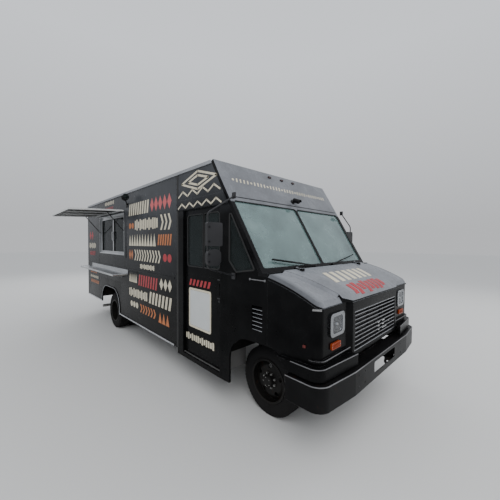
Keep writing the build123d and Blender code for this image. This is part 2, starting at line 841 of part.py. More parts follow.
def front_bumper():
    """Deep wrap-round channel bumper: face, top step and lower lip, with a step hole."""
    z = (BUMPER_FOOT_Z, BUMPER_TOP_Z)
    block = bumper_region(0, z) - bumper_region(BUMPER_DEPTH, (z[0] - 1, z[1] + 1))
    block = block - bumper_region(BUMPER_SHEET, (z[0] + BUMPER_SHEET, z[1] - BUMPER_SHEET))
    block = block - bumper_region(BUMPER_LIP, (z[0] - 1, z[1] - BUMPER_SHEET))
    hole_z = (STEP_HOLE_FOOT, STEP_HOLE_TOP)
    hole_face = rounded((-STEP_HOLE_HALF, STEP_HOLE_HALF), hole_z, STEP_HOLE_CORNER)
    hole = front_solid(hole_face, (BUMPER_FRONT_Y - 20, BUMPER_FRONT_Y + BUMPER_LIP))
    body = block - hole
    back = BUMPER_FRONT_Y + BUMPER_SHEET - 1
    for side in (-1, 1):
        x = sorted((side * (RAIL_X - 24), side * (RAIL_X + 24)))
        body = body + span(x, (back, RAIL_FRONT), hole_z)
    for x in (-PLATE_SPACING / 2, PLATE_SPACING / 2):
        body = body - rod((x, BUMPER_FRONT_Y - 1, PLATE_Z), (x, back + 2, PLATE_Z), PLATE_HOLE)
    return body


TOW_EYE_RADIUS = 19
TOW_RING = 45
TOW_PLATE = 20
TOW_Z = 500
TOW_Y = (RAIL_FRONT + 55, RAIL_REAR - 60)


def tow_eye(x, y):
    """Tow plate welded under a rail, with an eye bored across it."""
    top = RAIL_TOP - RAIL_HEIGHT - SEAT
    width = (x - TOW_PLATE / 2, x + TOW_PLATE / 2)
    plate = span(width, (y - 40, y + 40), (TOW_Z, top))
    ring = rod((width[0], y, TOW_Z), (width[1], y, TOW_Z), TOW_RING)
    bore = rod((width[0] - 1, y, TOW_Z), (width[1] + 1, y, TOW_Z), TOW_EYE_RADIUS)
    return plate + ring - bore


def tow_eyes():
    """Two tow eyes in front and two at the rear."""
    eyes = []
    for side in (-1, 1):
        for y in TOW_Y:
            eyes.append(tow_eye(side * RAIL_X, y))
    return eyes


REAR_STEP = (6500, 6700)
REAR_STEP_Z = (430, 480)
REAR_STEP_HALF = 900
REAR_STEP_SHEET = 8


def rear_bumper():
    """Step bumper with a raised edge, on two drop arms from the frame."""
    x = (-REAR_STEP_HALF, REAR_STEP_HALF)
    tread = span(x, REAR_STEP, REAR_STEP_Z)
    sheet = REAR_STEP_SHEET
    under = REAR_STEP_Z[1] - sheet
    hollow = span(
        (x[0] + sheet, x[1] - sheet),
        (REAR_STEP[0] - 1, REAR_STEP[1] - sheet),
        (REAR_STEP_Z[0] - 1, under),
    )
    arms = []
    for side in (-1, 1):
        line = [
            (RAIL_REAR - 190, RAIL_TOP - RAIL_HEIGHT),
            (RAIL_REAR - 40, RAIL_TOP - RAIL_HEIGHT),
            (RAIL_REAR - 2, SKIRT_REAR - 8),
            (REAR_STEP[0] + 5, under),
            (REAR_STEP[0] + 150, under),
            (REAR_STEP[0] + 150, REAR_STEP_Z[0] + 12),
            (RAIL_REAR - 20, REAR_STEP_Z[0] + 12),
        ]
        x_arm = sorted((side * (RAIL_X - 30), side * (RAIL_X - 18)))
        arms.append(side_prism(line, x_arm))
    return joined([tread - hollow] + arms)


# Body shell

def floor():
    """Body floor of three sheets round step wells, engine and wheels, on its cross bearers."""
    edge = HALF_WIDTH - SKIN
    pocket = HALF_WIDTH - DOOR_RECESS - DOOR_THICK - DOOR_GAP
    z = (FLOOR_TOP - FLOOR_THICK, FLOOR_TOP)
    rear = span((-edge, edge), (POCKET_END, REAR_END - REAR_FRAME_THICK), z)
    middle = span((-pocket, pocket), (DOOR_REAR + SEAT, POCKET_END), z)
    cab = span((-STEP_INNER, STEP_INNER), (DOOR_FRONT + SEAT, DOOR_REAR), z)
    front_edge = half_width(CAB_FRONT_Y) - SKIN
    front = span((-front_edge, front_edge), (CAB_FRONT_Y, DOOR_FRONT), z)
    rear = rear + middle
    cab = cab - engine_hole()
    front = front - engine_hole()
    for side in (-1, 1):
        rear = rear - rear_housing_space(side)
        front = front - front_housing_space(side)
        cab = cab - front_housing_space(side)
    # Cross bearers carry the floor on the frame rails
    bearers = []
    for y in BEARERS:
        reach = STEP_INNER if y < DOOR_REAR + 60 else pocket - 150
        bearers.append(span((-reach, reach), (y - 30, y + 30), (RAIL_TOP, z[0])))
    return group([rear, cab, front] + bearers)


def firewall():
    """Sheet wall between cab and nose, with the engine cover that stands behind it."""
    edge = half_width(CAB_FRONT_Y) - SKIN
    z = (FLOOR_TOP, SCREEN_FOOT_Z - COWL_THICK)
    panel = span((-edge, edge), (CAB_FRONT_Y, CAB_FRONT_Y + FIREWALL), z)
    panel = panel - engine_hole()
    for side in (-1, 1):
        panel = panel - front_housing_space(side)
    return panel + engine_cover()


FIREWALL = 22
COVER_HALF = 360
COVER_REAR = 620
COVER_TOP = 1250
COVER_SHEET = 12


def engine_hole():
    """Room for the engine in the floor and firewall."""
    half = COVER_HALF - COVER_SHEET
    y = (CAB_FRONT_Y - 1, COVER_REAR - COVER_SHEET)
    return span((-half, half), y, (FLOOR_TOP - FLOOR_THICK - 1, COVER_TOP - COVER_SHEET))


def engine_cover():
    """Hollow engine cover between the seats, open towards the engine."""
    front = CAB_FRONT_Y + FIREWALL
    sheet = COVER_SHEET
    outline = [
        (front, FLOOR_TOP),
        (front, COVER_TOP),
        (COVER_REAR - 160, COVER_TOP),
        (COVER_REAR, COVER_TOP - 140),
        (COVER_REAR, FLOOR_TOP),
    ]
    room = [
        (front - 1, FLOOR_TOP - 1),
        (front - 1, COVER_TOP - sheet),
        (COVER_REAR - 165, COVER_TOP - sheet),
        (COVER_REAR - sheet, COVER_TOP - 145),
        (COVER_REAR - sheet, FLOOR_TOP - 1),
    ]
    outer = side_prism(outline, (-COVER_HALF, COVER_HALF))
    return outer - side_prism(room, (-COVER_HALF + sheet, COVER_HALF - sheet))


def step_well():
    """Left entrance under the door: low step, middle tread, risers and end sheets."""
    edge = HALF_WIDTH - SKIN
    sheet = STEP_SHEET
    pocket = HALF_WIDTH - DOOR_RECESS - DOOR_THICK - DOOR_GAP
    inside = (DOOR_FRONT + sheet, DOOR_REAR - sheet)
    low = span((STEP_INNER, edge), (DOOR_FRONT, DOOR_REAR), (SILL_TOP - 3 * sheet, SILL_TOP))
    tread = span((STEP_INNER + sheet, MID_STEP_X), inside, (MID_STEP_Z - sheet, MID_STEP_Z))
    riser = span((MID_STEP_X - sheet, MID_STEP_X), inside, (SILL_TOP, MID_STEP_Z - sheet))
    inner = span((STEP_INNER, STEP_INNER + sheet), inside, (SILL_TOP, FLOOR_TOP))
    ends = []
    for y in ((DOOR_FRONT, inside[0]), (inside[1], DOOR_REAR)):
        ends.append(span((STEP_INNER, pocket), y, (SILL_TOP, FLOOR_TOP)))
    return group([low, tread, riser, inner] + ends)


def front_housing_space(side):
    """Space that a front wheel housing takes out of the floor and firewall."""
    x = sorted((side * FRONT_HOUSING_INNER, side * (HALF_WIDTH + 50)))
    return span(x, FRONT_HOUSING_Y, (0, FRONT_HOUSING_TOP))


def rear_housing_space(side):
    """Space that a rear wheel housing takes out of the floor, the lining and the counter."""
    x = sorted((side * REAR_HOUSING_INNER, side * (HALF_WIDTH + 50)))
    return span(x, REAR_HOUSING_Y, (0, REAR_HOUSING_TOP))


def housing_box(inner, y, low, top, outer):
    """Wheel housing of the left side: open below and outward."""
    sheet = HOUSING_SHEET
    box = span((inner, outer), y, (low, top))
    room = span((inner + sheet, outer + 1), (y[0] + sheet, y[1] - sheet), (low - 1, top - sheet))
    return box - room


def wheel_housings():
    """Sheet housings over the four wheels."""
    outer = HALF_WIDTH - SKIN
    y = FRONT_HOUSING_Y
    front = housing_box(FRONT_HOUSING_INNER, y, HOUSING_FOOT, FRONT_HOUSING_TOP, outer + 20)
    front = front & inside_skin((y[0] - 1, y[1] + 1))
    front = front - span((0, REACH), (y[0] - 1, BUMPER_TAIL_Y + 20), (0, VALANCE_Z[1] + 4))
    rear = housing_box(REAR_HOUSING_INNER, REAR_HOUSING_Y, HOUSING_FOOT, REAR_HOUSING_TOP, outer)
    return group([front, rear, mirrored(front), mirrored(rear)])


def inside_skin(y):
    """Space of the left half inside the body side's skin."""
    ends = [y[0]] + [p for p in (CAB_FRONT_Y, TAPER_START_Y) if y[0] < p < y[1]] + [y[1]]
    outer = [(half_width(p) - SKIN, p) for p in ends]
    face = make_face(Polyline((0, y[0]), *outer, (0, y[1]), close=True))
    return plan_solid(face, (0, ROOF_TOP))


def strip(y, z):
    """Moulding on the flat part of the left wall."""
    return span((HALF_WIDTH - 1, HALF_WIDTH + TRIM_PROUD), y, z)


def wall_shell():
    """Left side behind the cab: outer skin, lining behind the door pocket, mouldings, arch."""
    rear = REAR_END - REAR_FRAME_THICK
    outline = [
        (SEAM_Y, SKIRT_FRONT),
        (SEAM_Y, WALL_TOP),
        (rear, WALL_TOP),
        (rear, SKIRT_REAR),
        (WHEELBASE, SKIRT_REAR),
        (WHEELBASE, SKIRT_FRONT),
    ]
    skin = side_prism(outline, (HALF_WIDTH - SKIN, HALF_WIDTH))
    lining_x = (HALF_WIDTH - SKIN - LINING, HALF_WIDTH - SKIN + 1)
    lining = span(lining_x, (POCKET_END, rear), (FLOOR_TOP, WALL_TOP)) - rear_housing_space(1)
    start = SEAM_Y + TRIM_START
    end = rear - TRIM_END
    strips = [
        strip((start, end), (BELT_Z, BELT_Z + BELT_HEIGHT)),
        strip((start, WHEELBASE - REAR_ARCH_HALF - 4), (SKIRT_FRONT, SKIRT_FRONT + RUB_HEIGHT)),
        strip((WHEELBASE + REAR_ARCH_HALF + 4, end), (SKIRT_REAR, SKIRT_REAR + RUB_HEIGHT)),
    ]
    shell = joined([skin, lining] + strips)
    return shell - rear_arch() + arch_lip()


def arch_zone():
    """Where the left wall's own skin gives way to the wheel arch panel."""
    y = (WHEELBASE - REAR_ARCH_HALF - ARCH_PANEL_SIDE, WHEELBASE + REAR_ARCH_HALF + ARCH_PANEL_SIDE)
    return span((HALF_WIDTH - SKIN, REACH), y, (0, REAR_ARCH_TOP + ARCH_PANEL_RISE))


def arch_panel():
    """Left lower panel over the rear wheels, with the arch and its raised flange."""
    return wall_shell() & arch_zone()


def wall():
    """Left wall behind the cab, without the wheel arch panel."""
    return wall_shell() - arch_zone()


def arch_lip():
    """Raised flange round the rear arch."""
    y = (WHEELBASE - REAR_ARCH_HALF - ARCH_LIP, WHEELBASE + REAR_ARCH_HALF + ARCH_LIP)
    top = REAR_ARCH_TOP + ARCH_LIP
    face = rounded(y, (-top, top), REAR_ARCH_ROUND + ARCH_LIP)
    outer = side_solid(face, (HALF_WIDTH - SKIN, HALF_WIDTH + TRIM_PROUD))
    below = span((0, REACH), (0, REAR_END), (-REACH, SKIRT_FRONT))
    behind = span((0, REACH), (WHEELBASE, REAR_END), (-REACH, SKIRT_REAR))
    return outer - rear_arch() - below - behind


def kerb_wall():
    """Right wall, with the serving opening and the raised rim that the hatch closes on."""
    y0, y1, low, top = WINDOW
    rim = span(
        (HALF_WIDTH - 1, HALF_WIDTH + RIM_PROUD),
        (y0 - RIM_WIDTH, y1 + RIM_WIDTH),
        (low - RIM_WIDTH / 2, top + RIM_WIDTH / 4),
    )
    opening = span((HALF_WIDTH - 200, HALF_WIDTH + 50), (y0, y1), (low, top))
    return mirrored(wall() + rim - opening)


def serving_window():
    """Frame of the sliding serving window, seated in the opening, with its sloping sill."""
    y0, y1, low, top = WINDOW
    face_x = HALF_WIDTH - FRAME_RECESS
    frame = span((face_x - FRAME_DEPTH, face_x), (y0, y1), (low, top))
    for y in serving_panes():
        frame = frame - span((0, HALF_WIDTH), y, (low + FRAME_JAMB, top - FRAME_JAMB))
    edge = HALF_WIDTH + RIM_PROUD
    line = [(face_x - 1, low), (edge, low), (edge, low + 14), (face_x - 1, low + SILL_RISE)]
    sill = front_solid(make_face(Polyline(*line, close=True)), (y0, y1))
    body = frame + sill
    for y in stay_places():
        body = body + stay_cup(y)
    return mirrored(body)


def stay_cup(y):
    """Cup on the jamb that a stay's foot stands in, on the left before mirroring."""
    foot = STAY_FOOT_X
    low = STAY_FOOT_Z - STAY_RADIUS - SEAT
    face_x = HALF_WIDTH - FRAME_RECESS
    arm = span((face_x - 1, foot), (y - 12, y + 12), (low - 10, low))
    rib = span((face_x - 1, face_x + 10), (y - 12, y + 12), (low - 30, low + 14))
    return arm + rib


def serving_panes():
    """Low and high y of each pane in the serving window."""
    y0, y1, _, _ = WINDOW
    return (
        (y0 + FRAME_FRONT_JAMB, MULLION_Y - MULLION / 2),
        (MULLION_Y + MULLION / 2, y1 - FRAME_JAMB),
    )


def serving_glass():
    """Two panes of the serving window."""
    _, _, low, top = WINDOW
    middle = HALF_WIDTH - FRAME_RECESS - FRAME_DEPTH / 2
    panes = []
    for y in serving_panes():
        z = (low + FRAME_JAMB, top - FRAME_JAMB)
        panes.append(mirrored(span((middle - GLASS_THICK / 2, middle + GLASS_THICK / 2), y, z)))
    return group(panes)


def hatch_span():
    y0, y1, _, _ = WINDOW
    return (y0 - HATCH_SIDE, y1 + HATCH_SIDE)


def stay_places():
    y0, y1, _, _ = WINDOW
    return (y0 + HATCH_RIM, y1 - HATCH_RIM)


def hatch_turn(shape):
    """Swing a closed shape of the right side up to where the hatch rests open."""
    axis = Pos(-HATCH_AXIS_X, 0, HATCH_AXIS_Z)
    return axis * Rot(0, HATCH_OPEN, 0) * axis.inverse() * shape


def hinge_knuckles(y, count, half):
    """Places along a hinge of the knuckles of one half, 0 or 1."""
    pitch = (y[1] - y[0]) / count
    places = []
    for number in range(half, count, 2):
        start = y[0] + number * pitch
        places.append((start + SEAT / 2, start + pitch - SEAT / 2))
    return places


def stay_pin():
    """Where the stays' pins rest, as (x, z), with the hatch open."""
    x = HATCH_INNER + STAY_SINK - HATCH_AXIS_X
    z = -STAY_PIN
    turn = radians(HATCH_OPEN)
    # The kerb side is mirrored, so the closed offset from the hinge is -x
    out = -x * cos(turn) + z * sin(turn)
    up = x * sin(turn) + z * cos(turn)
    return (-HATCH_AXIS_X + out, HATCH_AXIS_Z + up)


def serving_hatch():
    """Hatch panel with a folded rim and ribs, its hinge knuckles and the stays' lugs."""
    y = hatch_span()
    x = (-HATCH_INNER - HATCH_THICK, -HATCH_INNER)
    z = (HATCH_AXIS_Z - HATCH_LENGTH, HATCH_AXIS_Z - HATCH_LAND)
    rim = HATCH_RIM
    room_z = (z[0] + rim, z[1] - rim)
    room = span((x[0] + HATCH_SHEET, x[1] + 1), (y[0] + rim, y[1] - rim), room_z)
    pieces = [span(x, y, z) - room]
    for share in (1 / 3, 2 / 3):
        place = y[0] + (y[1] - y[0]) * share
        pieces.append(span(x, (place - HATCH_RIB / 2, place + HATCH_RIB / 2), z))
    radius = HINGE_RADIUS
    axis = -HATCH_AXIS_X
    for place in hinge_knuckles(y, KNUCKLES, 0):
        pieces.append(hatch_rod(axis, place, HATCH_AXIS_Z, radius))
        pieces.append(span((axis - radius, axis + radius), place, (z[1] - 1, HATCH_AXIS_Z)))
    panel = joined(pieces)
    panel = panel - hatch_rod(axis, (y[0] - 1, y[1] + 1), HATCH_AXIS_Z, HINGE_PIN + RUN)
    pin_x = -HATCH_INNER - STAY_SINK
    pin_z = HATCH_AXIS_Z - STAY_PIN
    for place in stay_places():
        lug = span((x[0] + 1, pin_x + 8), (place - 18, place - 12), (pin_z - 14, pin_z + 14))
        pin = hatch_rod(pin_x, (place - 14, place + 11), pin_z, STAY_PIN_RADIUS)
        panel = panel + lug + pin
    return hatch_turn(panel)


def hatch_rod(x, y, z, radius):
    """Round bar along the body between two y places."""
    return rod((x, y[0], z), (x, y[1], z), radius)


def hatch_hinge():
    """The wall's half of the hatch hinge: pin, knuckles and a leaf on the wall."""
    x = -HATCH_AXIS_X
    y = hatch_span()
    z = HATCH_AXIS_Z
    pieces = [hatch_rod(x, (y[0] + 4, y[1] - 4), z, HINGE_PIN)]
    for place in hinge_knuckles(y, KNUCKLES, 1):
        pieces.append(hatch_rod(x, place, z, HINGE_RADIUS))
        pieces.append(span((x, -HALF_WIDTH), place, (z, z + HINGE_RADIUS)))
        pieces.append(span((-HALF_WIDTH - 5, -HALF_WIDTH), place, (z, z + 44)))
    return joined(pieces)


def hatch_stays():
    """Two folding stays, from their pins in the hatch to their cups on the window jambs."""
    pin_x, pin_z = stay_pin()
    stays = []
    for y in stay_places():
        start = (pin_x, y, pin_z)
        end = (-STAY_FOOT_X, y, STAY_FOOT_Z)
        bar = rod(start, end, STAY_RADIUS)
        eye = hatch_rod(pin_x, (y - 10, y + 10), pin_z, STAY_EYE_RADIUS)
        foot = Pos(*end) * Sphere(STAY_RADIUS)
        bore = hatch_rod(pin_x, (y - 20, y + 20), pin_z, STAY_PIN_RADIUS + RUN)
        stays.append(joined([bar, eye, foot]) - bore)
    return group(stays)


def shelf():
    """Folded sheet shelf under the serving window, with its back edge and brackets."""
    y0, y1 = SHELF
    sheet = SHELF_SHEET
    wall_x = -HALF_WIDTH
    outer = wall_x - SHELF_DEPTH
    low = SHELF_Z - SHELF_THICK
    tray = span((outer, wall_x), SHELF, (low, SHELF_Z))
    room = span((outer + sheet, wall_x + 1), (y0 + sheet, y1 - sheet), (low - 1, SHELF_Z - sheet))
    back = span((wall_x - sheet, wall_x), SHELF, (low, SHELF_Z + SHELF_BACK))
    line = [
        (wall_x, SHELF_Z - sheet),
        (outer + 60, SHELF_Z - sheet),
        (outer + 60, low),
        (wall_x - 30, SHELF_Z - BRACKET_DROP),
        (wall_x, SHELF_Z - BRACKET_DROP),
    ]
    bracket = make_face(Polyline(*line, close=True))
    pieces = [tray - room, back]
    for y in BRACKETS:
        pieces.append(front_solid(bracket, (y - 6, y + 6)))
    return joined(pieces)


COUNTER_DEPTH = 560
COUNTER_Z = 1640
COUNTER_TOP_THICK = 40
COUNTER_END = REAR_END - 450


def counter():
    """Worktop and cabinet inside, under the serving window."""
    outer = HALF_WIDTH - SKIN - LINING
    y = (POCKET_END + 120, COUNTER_END)
    under = COUNTER_Z - COUNTER_TOP_THICK
    face = outer - COUNTER_DEPTH + 30
    top = span((outer - COUNTER_DEPTH, outer), y, (under, COUNTER_Z))
    base = span((face, outer), y, (FLOOR_TOP, under))
    room = span((face - 1, outer - 20), (y[0] + 20, y[1] - 20), (FLOOR_TOP + 90, under - 30))
    return mirrored(joined([top, base - room]) - rear_housing_space(1))


# Roof and rear

def roof():
    """Crowned roof panel between its side rails, cut to the leaning cab front."""
    half = HALF_WIDTH - RAIL_WIDTH
    edge = ROOF_TOP - 6
    under = edge - ROOF_THICK
    arc = [
        ThreePointArc((-half, edge), (0, edge + ROOF_CROWN), (half, edge)),
        Line((half, edge), (half, under)),
        ThreePointArc((half, under), (0, under + ROOF_CROWN), (-half, under)),
        Line((-half, under), (-half, edge)),
    ]
    panel = front_solid(make_face(arc), (0, REAR_END))
    lining = HALF_WIDTH - SKIN - LINING
    bows = []
    for number in range(1, ROOF_BOWS + 1):
        y = BOW_START + REAR_END * number / (ROOF_BOWS + 1)
        bow = Pos(0, 0, -BOW_DROP) * front_solid(make_face(arc), (y - 20, y + 20))
        bows.append(bow & span((-lining, lining), (0, REAR_END), (0, REACH)))
    rails = roof_rails()
    return joined([panel] + bows + rails) & behind_screen()


def roof_rails():
    """Rail along each roof edge, standing on the walls, with a drip gutter."""
    edge = HALF_WIDTH + RAIL_PROUD
    y = (0, REAR_END)
    rail = span((HALF_WIDTH - RAIL_WIDTH - 1, edge), y, (WALL_TOP, ROOF_TOP))
    gutter = span((edge - 3, edge + GUTTER), y, (WALL_TOP, WALL_TOP + GUTTER))
    rail = rail + gutter
    return [rail, mirrored(rail)]


def rear_frame():
    """Rear wall with its doorway, plate panel and the fixed halves of the door hinges."""
    y = (REAR_END - REAR_FRAME_THICK, REAR_END)
    half = HALF_WIDTH
    wall_panel = span((-half, half), y, (SKIRT_REAR, WALL_TOP))
    doorway = span((-REAR_OPEN_HALF, REAR_OPEN_HALF), (y[0] - 1, y[1] + 1), (FLOOR_TOP, REAR_OPEN_TOP))
    panel = wall_panel - doorway
    rebate = REAR_DOOR_THICK + REAR_DOOR_GAP
    for side in (-1, 1):
        x = sorted((side * (REAR_OPEN_HALF - REAR_STOP), side * REAR_OPEN_HALF))
        panel = panel + span(x, (y[0], REAR_END - rebate), (FLOOR_TOP, REAR_OPEN_TOP))
        panel = panel + rear_hinges(side, 1)
    return panel


def rear_hinges(side, half):
    """One side's hinges: half 0 is the door's middle knuckle, half 1 the frame's two and the pin."""
    pieces = []
    x = side * REAR_HINGE_X
    reach = REAR_KNUCKLE * 1.5
    back = (REAR_END - 1, REAR_END + REAR_LEAF)
    lifted = (REAR_END + 1, REAR_END + REAR_LEAF)
    for z in REAR_HINGE_Z:
        for low, high in hinge_knuckles((z - reach, z + reach), 3, 1 - half):
            height = (low, high)
            pieces.append(rod((x, REAR_HINGE_Y, low), (x, REAR_HINGE_Y, high), REAR_HINGE_RADIUS))
            if half:
                pieces.append(span(sorted((x, x + side * 46)), back, height))
            else:
                pieces.append(span(sorted((x, x - side * 60)), lifted, height))
                pieces.append(span(sorted((x - side * 60, x - side * 20)), back, height))
            pieces.append(span((x - 4, x + 4), (REAR_END + 1, REAR_HINGE_Y), height))
        if half:
            low = (x, REAR_HINGE_Y, z - reach + 2)
            high = (x, REAR_HINGE_Y, z + reach - 2)
            pieces.append(rod(low, high, REAR_HINGE_PIN))
    return joined(pieces) if half == 0 else group(pieces)


def rear_door():
    """Left rear door with its pressed panel, middle knuckles and handle."""
    x = (REAR_DOOR_GAP / 2, REAR_OPEN_HALF - REAR_DOOR_GAP)
    y = (REAR_END - REAR_DOOR_THICK, REAR_END)
    z = (FLOOR_TOP + REAR_DOOR_GAP, REAR_OPEN_TOP - REAR_DOOR_GAP)
    door = span(x, y, z)
    inset = REAR_PANEL_INSET
    pressed = rounded((x[0] + inset, x[1] - inset), (z[0] + inset, z[1] - inset), 40)
    door = door - front_solid(pressed, (y[1] - REAR_PANEL_DEPTH, y[1] + 1))
    hinges = rear_hinges(1, 0)
    place = (REAR_HINGE_X, REAR_HINGE_Y)
    bore = rod((*place, z[0]), (*place, z[1]), REAR_HINGE_PIN + RUN)
    handle = span((60, 84), (REAR_END - 1, REAR_END + 24), REAR_HANDLE_Z)
    return door + hinges - bore + handle


# Cab

def screen_v(z):
    """Distance up the leaning cab front for a height."""
    return (z - SCREEN_FOOT_Z) / cos(radians(SCREEN_LEAN))


def screen_solid(face, depth):
    """Face drawn on the leaning cab front, as (x, up), between two depths behind it."""
    return SCREEN_PLANE * Pos(0, 0, -depth[1]) * extrude(face, depth[1] - depth[0])


def screen_panes():
    """Left glass opening, as a face on the cab front."""
    low = screen_v(GLASS_FOOT_Z)
    top = screen_v(GLASS_TOP_Z)
    foot = half_width(screen_y(GLASS_FOOT_Z)) - SCREEN_POST
    head = half_width(screen_y(GLASS_TOP_Z)) - SCREEN_POST
    inner = SCREEN_DIVIDER / 2
    outline = Polyline((inner, low), (foot, low), (head, top), (inner, top), close=True)
    return fillet(make_face(outline).vertices(), GLASS_CORNER)


def cab_front():
    """Leaning front frame: header, pillars, divider and the cowl ledge at its foot."""
    foot = half_width(screen_y(SCREEN_FOOT_Z))
    line = [(-foot, 0), (foot, 0)]
    for z in (TAPER_TOP_Z, ROOF_TOP):
        line.append((half_width(screen_y(z)), screen_v(z)))
    for z in (ROOF_TOP, TAPER_TOP_Z):
        line.append((-half_width(screen_y(z)), screen_v(z)))
    frame = screen_solid(make_face(Polyline(*line, close=True)), (0, SCREEN_THICK))
    pane = screen_panes()
    for face in (pane, mirror(pane, about=Plane.YZ)):
        frame = frame - screen_solid(face, (-5, SCREEN_THICK + 5))
    back = SCREEN_FOOT_Y + SCREEN_SET_BACK
    outline = [
        (half_width(CAB_FRONT_Y), CAB_FRONT_Y),
        (half_width(back), back),
        (-half_width(back), back),
        (-half_width(CAB_FRONT_Y), CAB_FRONT_Y),
    ]
    cowl_z = (SCREEN_FOOT_Z - COWL_THICK, SCREEN_FOOT_Z)
    cowl = plan_solid(make_face(Polyline(*outline, close=True)), cowl_z)
    hinges = [hood_hinge(x, 1) for x in HOOD_HINGE_X]
    return joined([frame, cowl] + hinges)


def windscreen():
    """Two flat panes in the middle of the frame's depth."""
    pane = screen_panes()
    middle = SCREEN_THICK / 2
    depth = (middle - GLASS_THICK / 2, middle + GLASS_THICK / 2)
    return group([screen_solid(pane, depth), screen_solid(mirror(pane, about=Plane.YZ), depth)])


def quarter_face():
    """Quarter window in the side view."""
    foot, head = QUARTER_Z
    base = screen_y(foot) + SCREEN_SET_BACK + QUARTER_POST
    rear = FRONT_ARCH_REAR
    points = [
        (base, foot),
        (rear - 110, foot - 40),
        (rear, foot + 80),
        (rear, head),
        (screen_y(head) + SCREEN_SET_BACK + QUARTER_POST - 15, head),
    ]
    face = make_face(Polyline(*points, close=True))
    return fillet(face.vertices(), QUARTER_CORNER)


QUARTER_Z = (SCREEN_FOOT_Z + 22, 2285)
QUARTER_POST = 40
QUARTER_CORNER = 14
LOUVRE = (-190, -42, 1066, 1318)
SLATS = 6
POST_DEPTH = 62
SIDE_FOOT_Z = 700


def cab_side():
    """Left cab side: quarter window, louvre, door posts, header and wheel arch."""
    back = SCREEN_SET_BACK
    outline = [
        (CAB_FRONT_Y, SIDE_FOOT_Z),
        (CAB_FRONT_Y, SCREEN_FOOT_Z - COWL_THICK),
        (SCREEN_FOOT_Y + back, SCREEN_FOOT_Z - COWL_THICK),
        (SCREEN_FOOT_Y + back, SCREEN_FOOT_Z),
        (screen_y(WALL_TOP) + back, WALL_TOP),
        (SEAM_Y, WALL_TOP),
        (SEAM_Y, SILL_FOOT),
        (FRONT_ARCH_REAR - 60, SILL_FOOT),
        (FRONT_ARCH_REAR - 60, SIDE_FOOT_Z),
    ]
    slab = side_prism(outline, (0, REACH))
    skin = slab & side_strip(0, SKIN, (CAB_FRONT_Y, SEAM_Y), (0, WALL_TOP))
    doorway = (DOOR_FRONT, DOOR_REAR)
    skin = skin - span((0, REACH), doorway, (SILL_TOP, DOOR_TOP))
    skin = skin - side_solid(quarter_face(), (0, REACH)) - front_arch()
    inner = HALF_WIDTH - SKIN
    post_y = (DOOR_FRONT - 40, DOOR_FRONT)
    post = span((inner - POST_DEPTH, inner + 1), post_y, (FRONT_HOUSING_TOP, WALL_TOP)) & slab
    window = span((0, REACH), (LOUVRE[0], LOUVRE[1]), (LOUVRE[2], LOUVRE[3]))
    skin = skin - window
    pieces = [skin, post, louvre_slats(), door_band(), door_track()]
    return joined(pieces)


def louvre_slats():
    """Sloping slats that fill the louvre opening of the left side."""
    y0, y1, low, top = LOUVRE
    pitch = (top - low) / SLATS
    inner = half_width(y0) - SKIN - 4
    outer = half_width(y0)
    slats = []
    for number in range(SLATS):
        z = low + number * pitch
        head = z + pitch
        line = [(inner, head - 6), (inner, head - 1), (outer, z + 6), (outer, z + 1)]
        slats.append(front_solid(make_face(Polyline(*line, close=True)), (y0 - 3, y1 + 3)))
    return joined(slats)


def door_band():
    """Cover of the sliding door's track, outside over the doorway."""
    y = (FRONT_ARCH_REAR - 20, SEAM_Y - 10)
    low = DOOR_TOP + 6
    top = low + BAND_HEIGHT
    inner = HALF_WIDTH - 14
    outer = HALF_WIDTH + BAND_PROUD
    line = [(inner, low), (outer, low), (outer, top - 24), (inner, top)]
    return front_solid(make_face(Polyline(*line, close=True)), y) & behind_screen()


def door_track():
    """Rail inside the cab and the wall that the sliding door hangs from."""
    inner = HALF_WIDTH - DOOR_RECESS - DOOR_THICK
    x = (inner - DOOR_GAP - TRACK_DEPTH, inner - DOOR_GAP)
    foot = TRACK_TOP - TRACK_HEIGHT
    rail = span(x, (DOOR_FRONT - 1, POCKET_END), (foot, TRACK_TOP))
    # A hook over the door's head carries the rail from the skin
    y = (SEAM_Y - 60, SEAM_Y)
    hook_x = x[0] - 18
    hook_top = DOOR_TOP + DOOR_RISE + 72
    tie = span((hook_x, HALF_WIDTH - SKIN + 1), y, (hook_top - 12, hook_top))
    drop = span((hook_x, hook_x + 10), y, (foot - 8, hook_top))
    link = span((hook_x, x[1]), y, (foot - 8, foot + 1))
    return joined([rail, tie, drop, link])


def cab_door():
    """Left sliding door, with its window, hangers and handle, inside the skin."""
    outer = HALF_WIDTH - DOOR_RECESS
    x = (outer - DOOR_THICK, outer)
    y = (DOOR_FRONT + DOOR_GAP, DOOR_REAR + DOOR_LAP)
    z = (SILL_TOP + DOOR_GAP, DOOR_TOP + DOOR_RISE)
    door = span(x, y, z)
    w0, w1, low, top = DOOR_WINDOW
    window = rounded((w0, w1), (low, top), DOOR_WINDOW_CORNER)
    door = door - side_solid(window, (x[0] - 1, x[1] + 1))
    bar_y = (DOOR_WINDOW_BAR - WINDOW_BAR_HALF, DOOR_WINDOW_BAR + WINDOW_BAR_HALF)
    bar = span((x[0] + 8, x[1] - 8), bar_y, (low - 5, top + 5))
    panel = span((x[1] - 6, x[1] + 1), (y[0] + 60, y[1] - 70), (SILL_TOP + 90, low - 110))
    panel = panel - span((0, REACH), (y[0] + 72, y[1] - 82), (SILL_TOP + 102, low - 122))
    handle = span((x[1] - 1, x[1] + 12), (y[0] + 40, y[0] + 66), DOOR_HANDLE_Z)
    hook = (x[0] - DOOR_GAP - TRACK_DEPTH, x[0] + 1)
    hangers = []
    for start in (y[0] + 90, y[1] - 150):
        place = (start, start + HANGER_WIDTH)
        hangers.append(span(hook, place, (TRACK_TOP + SEAT, HANGER_TOP)))
        hangers.append(span(x, place, (z[1] - 1, HANGER_TOP)))
    return joined([door, bar, panel, handle] + hangers)


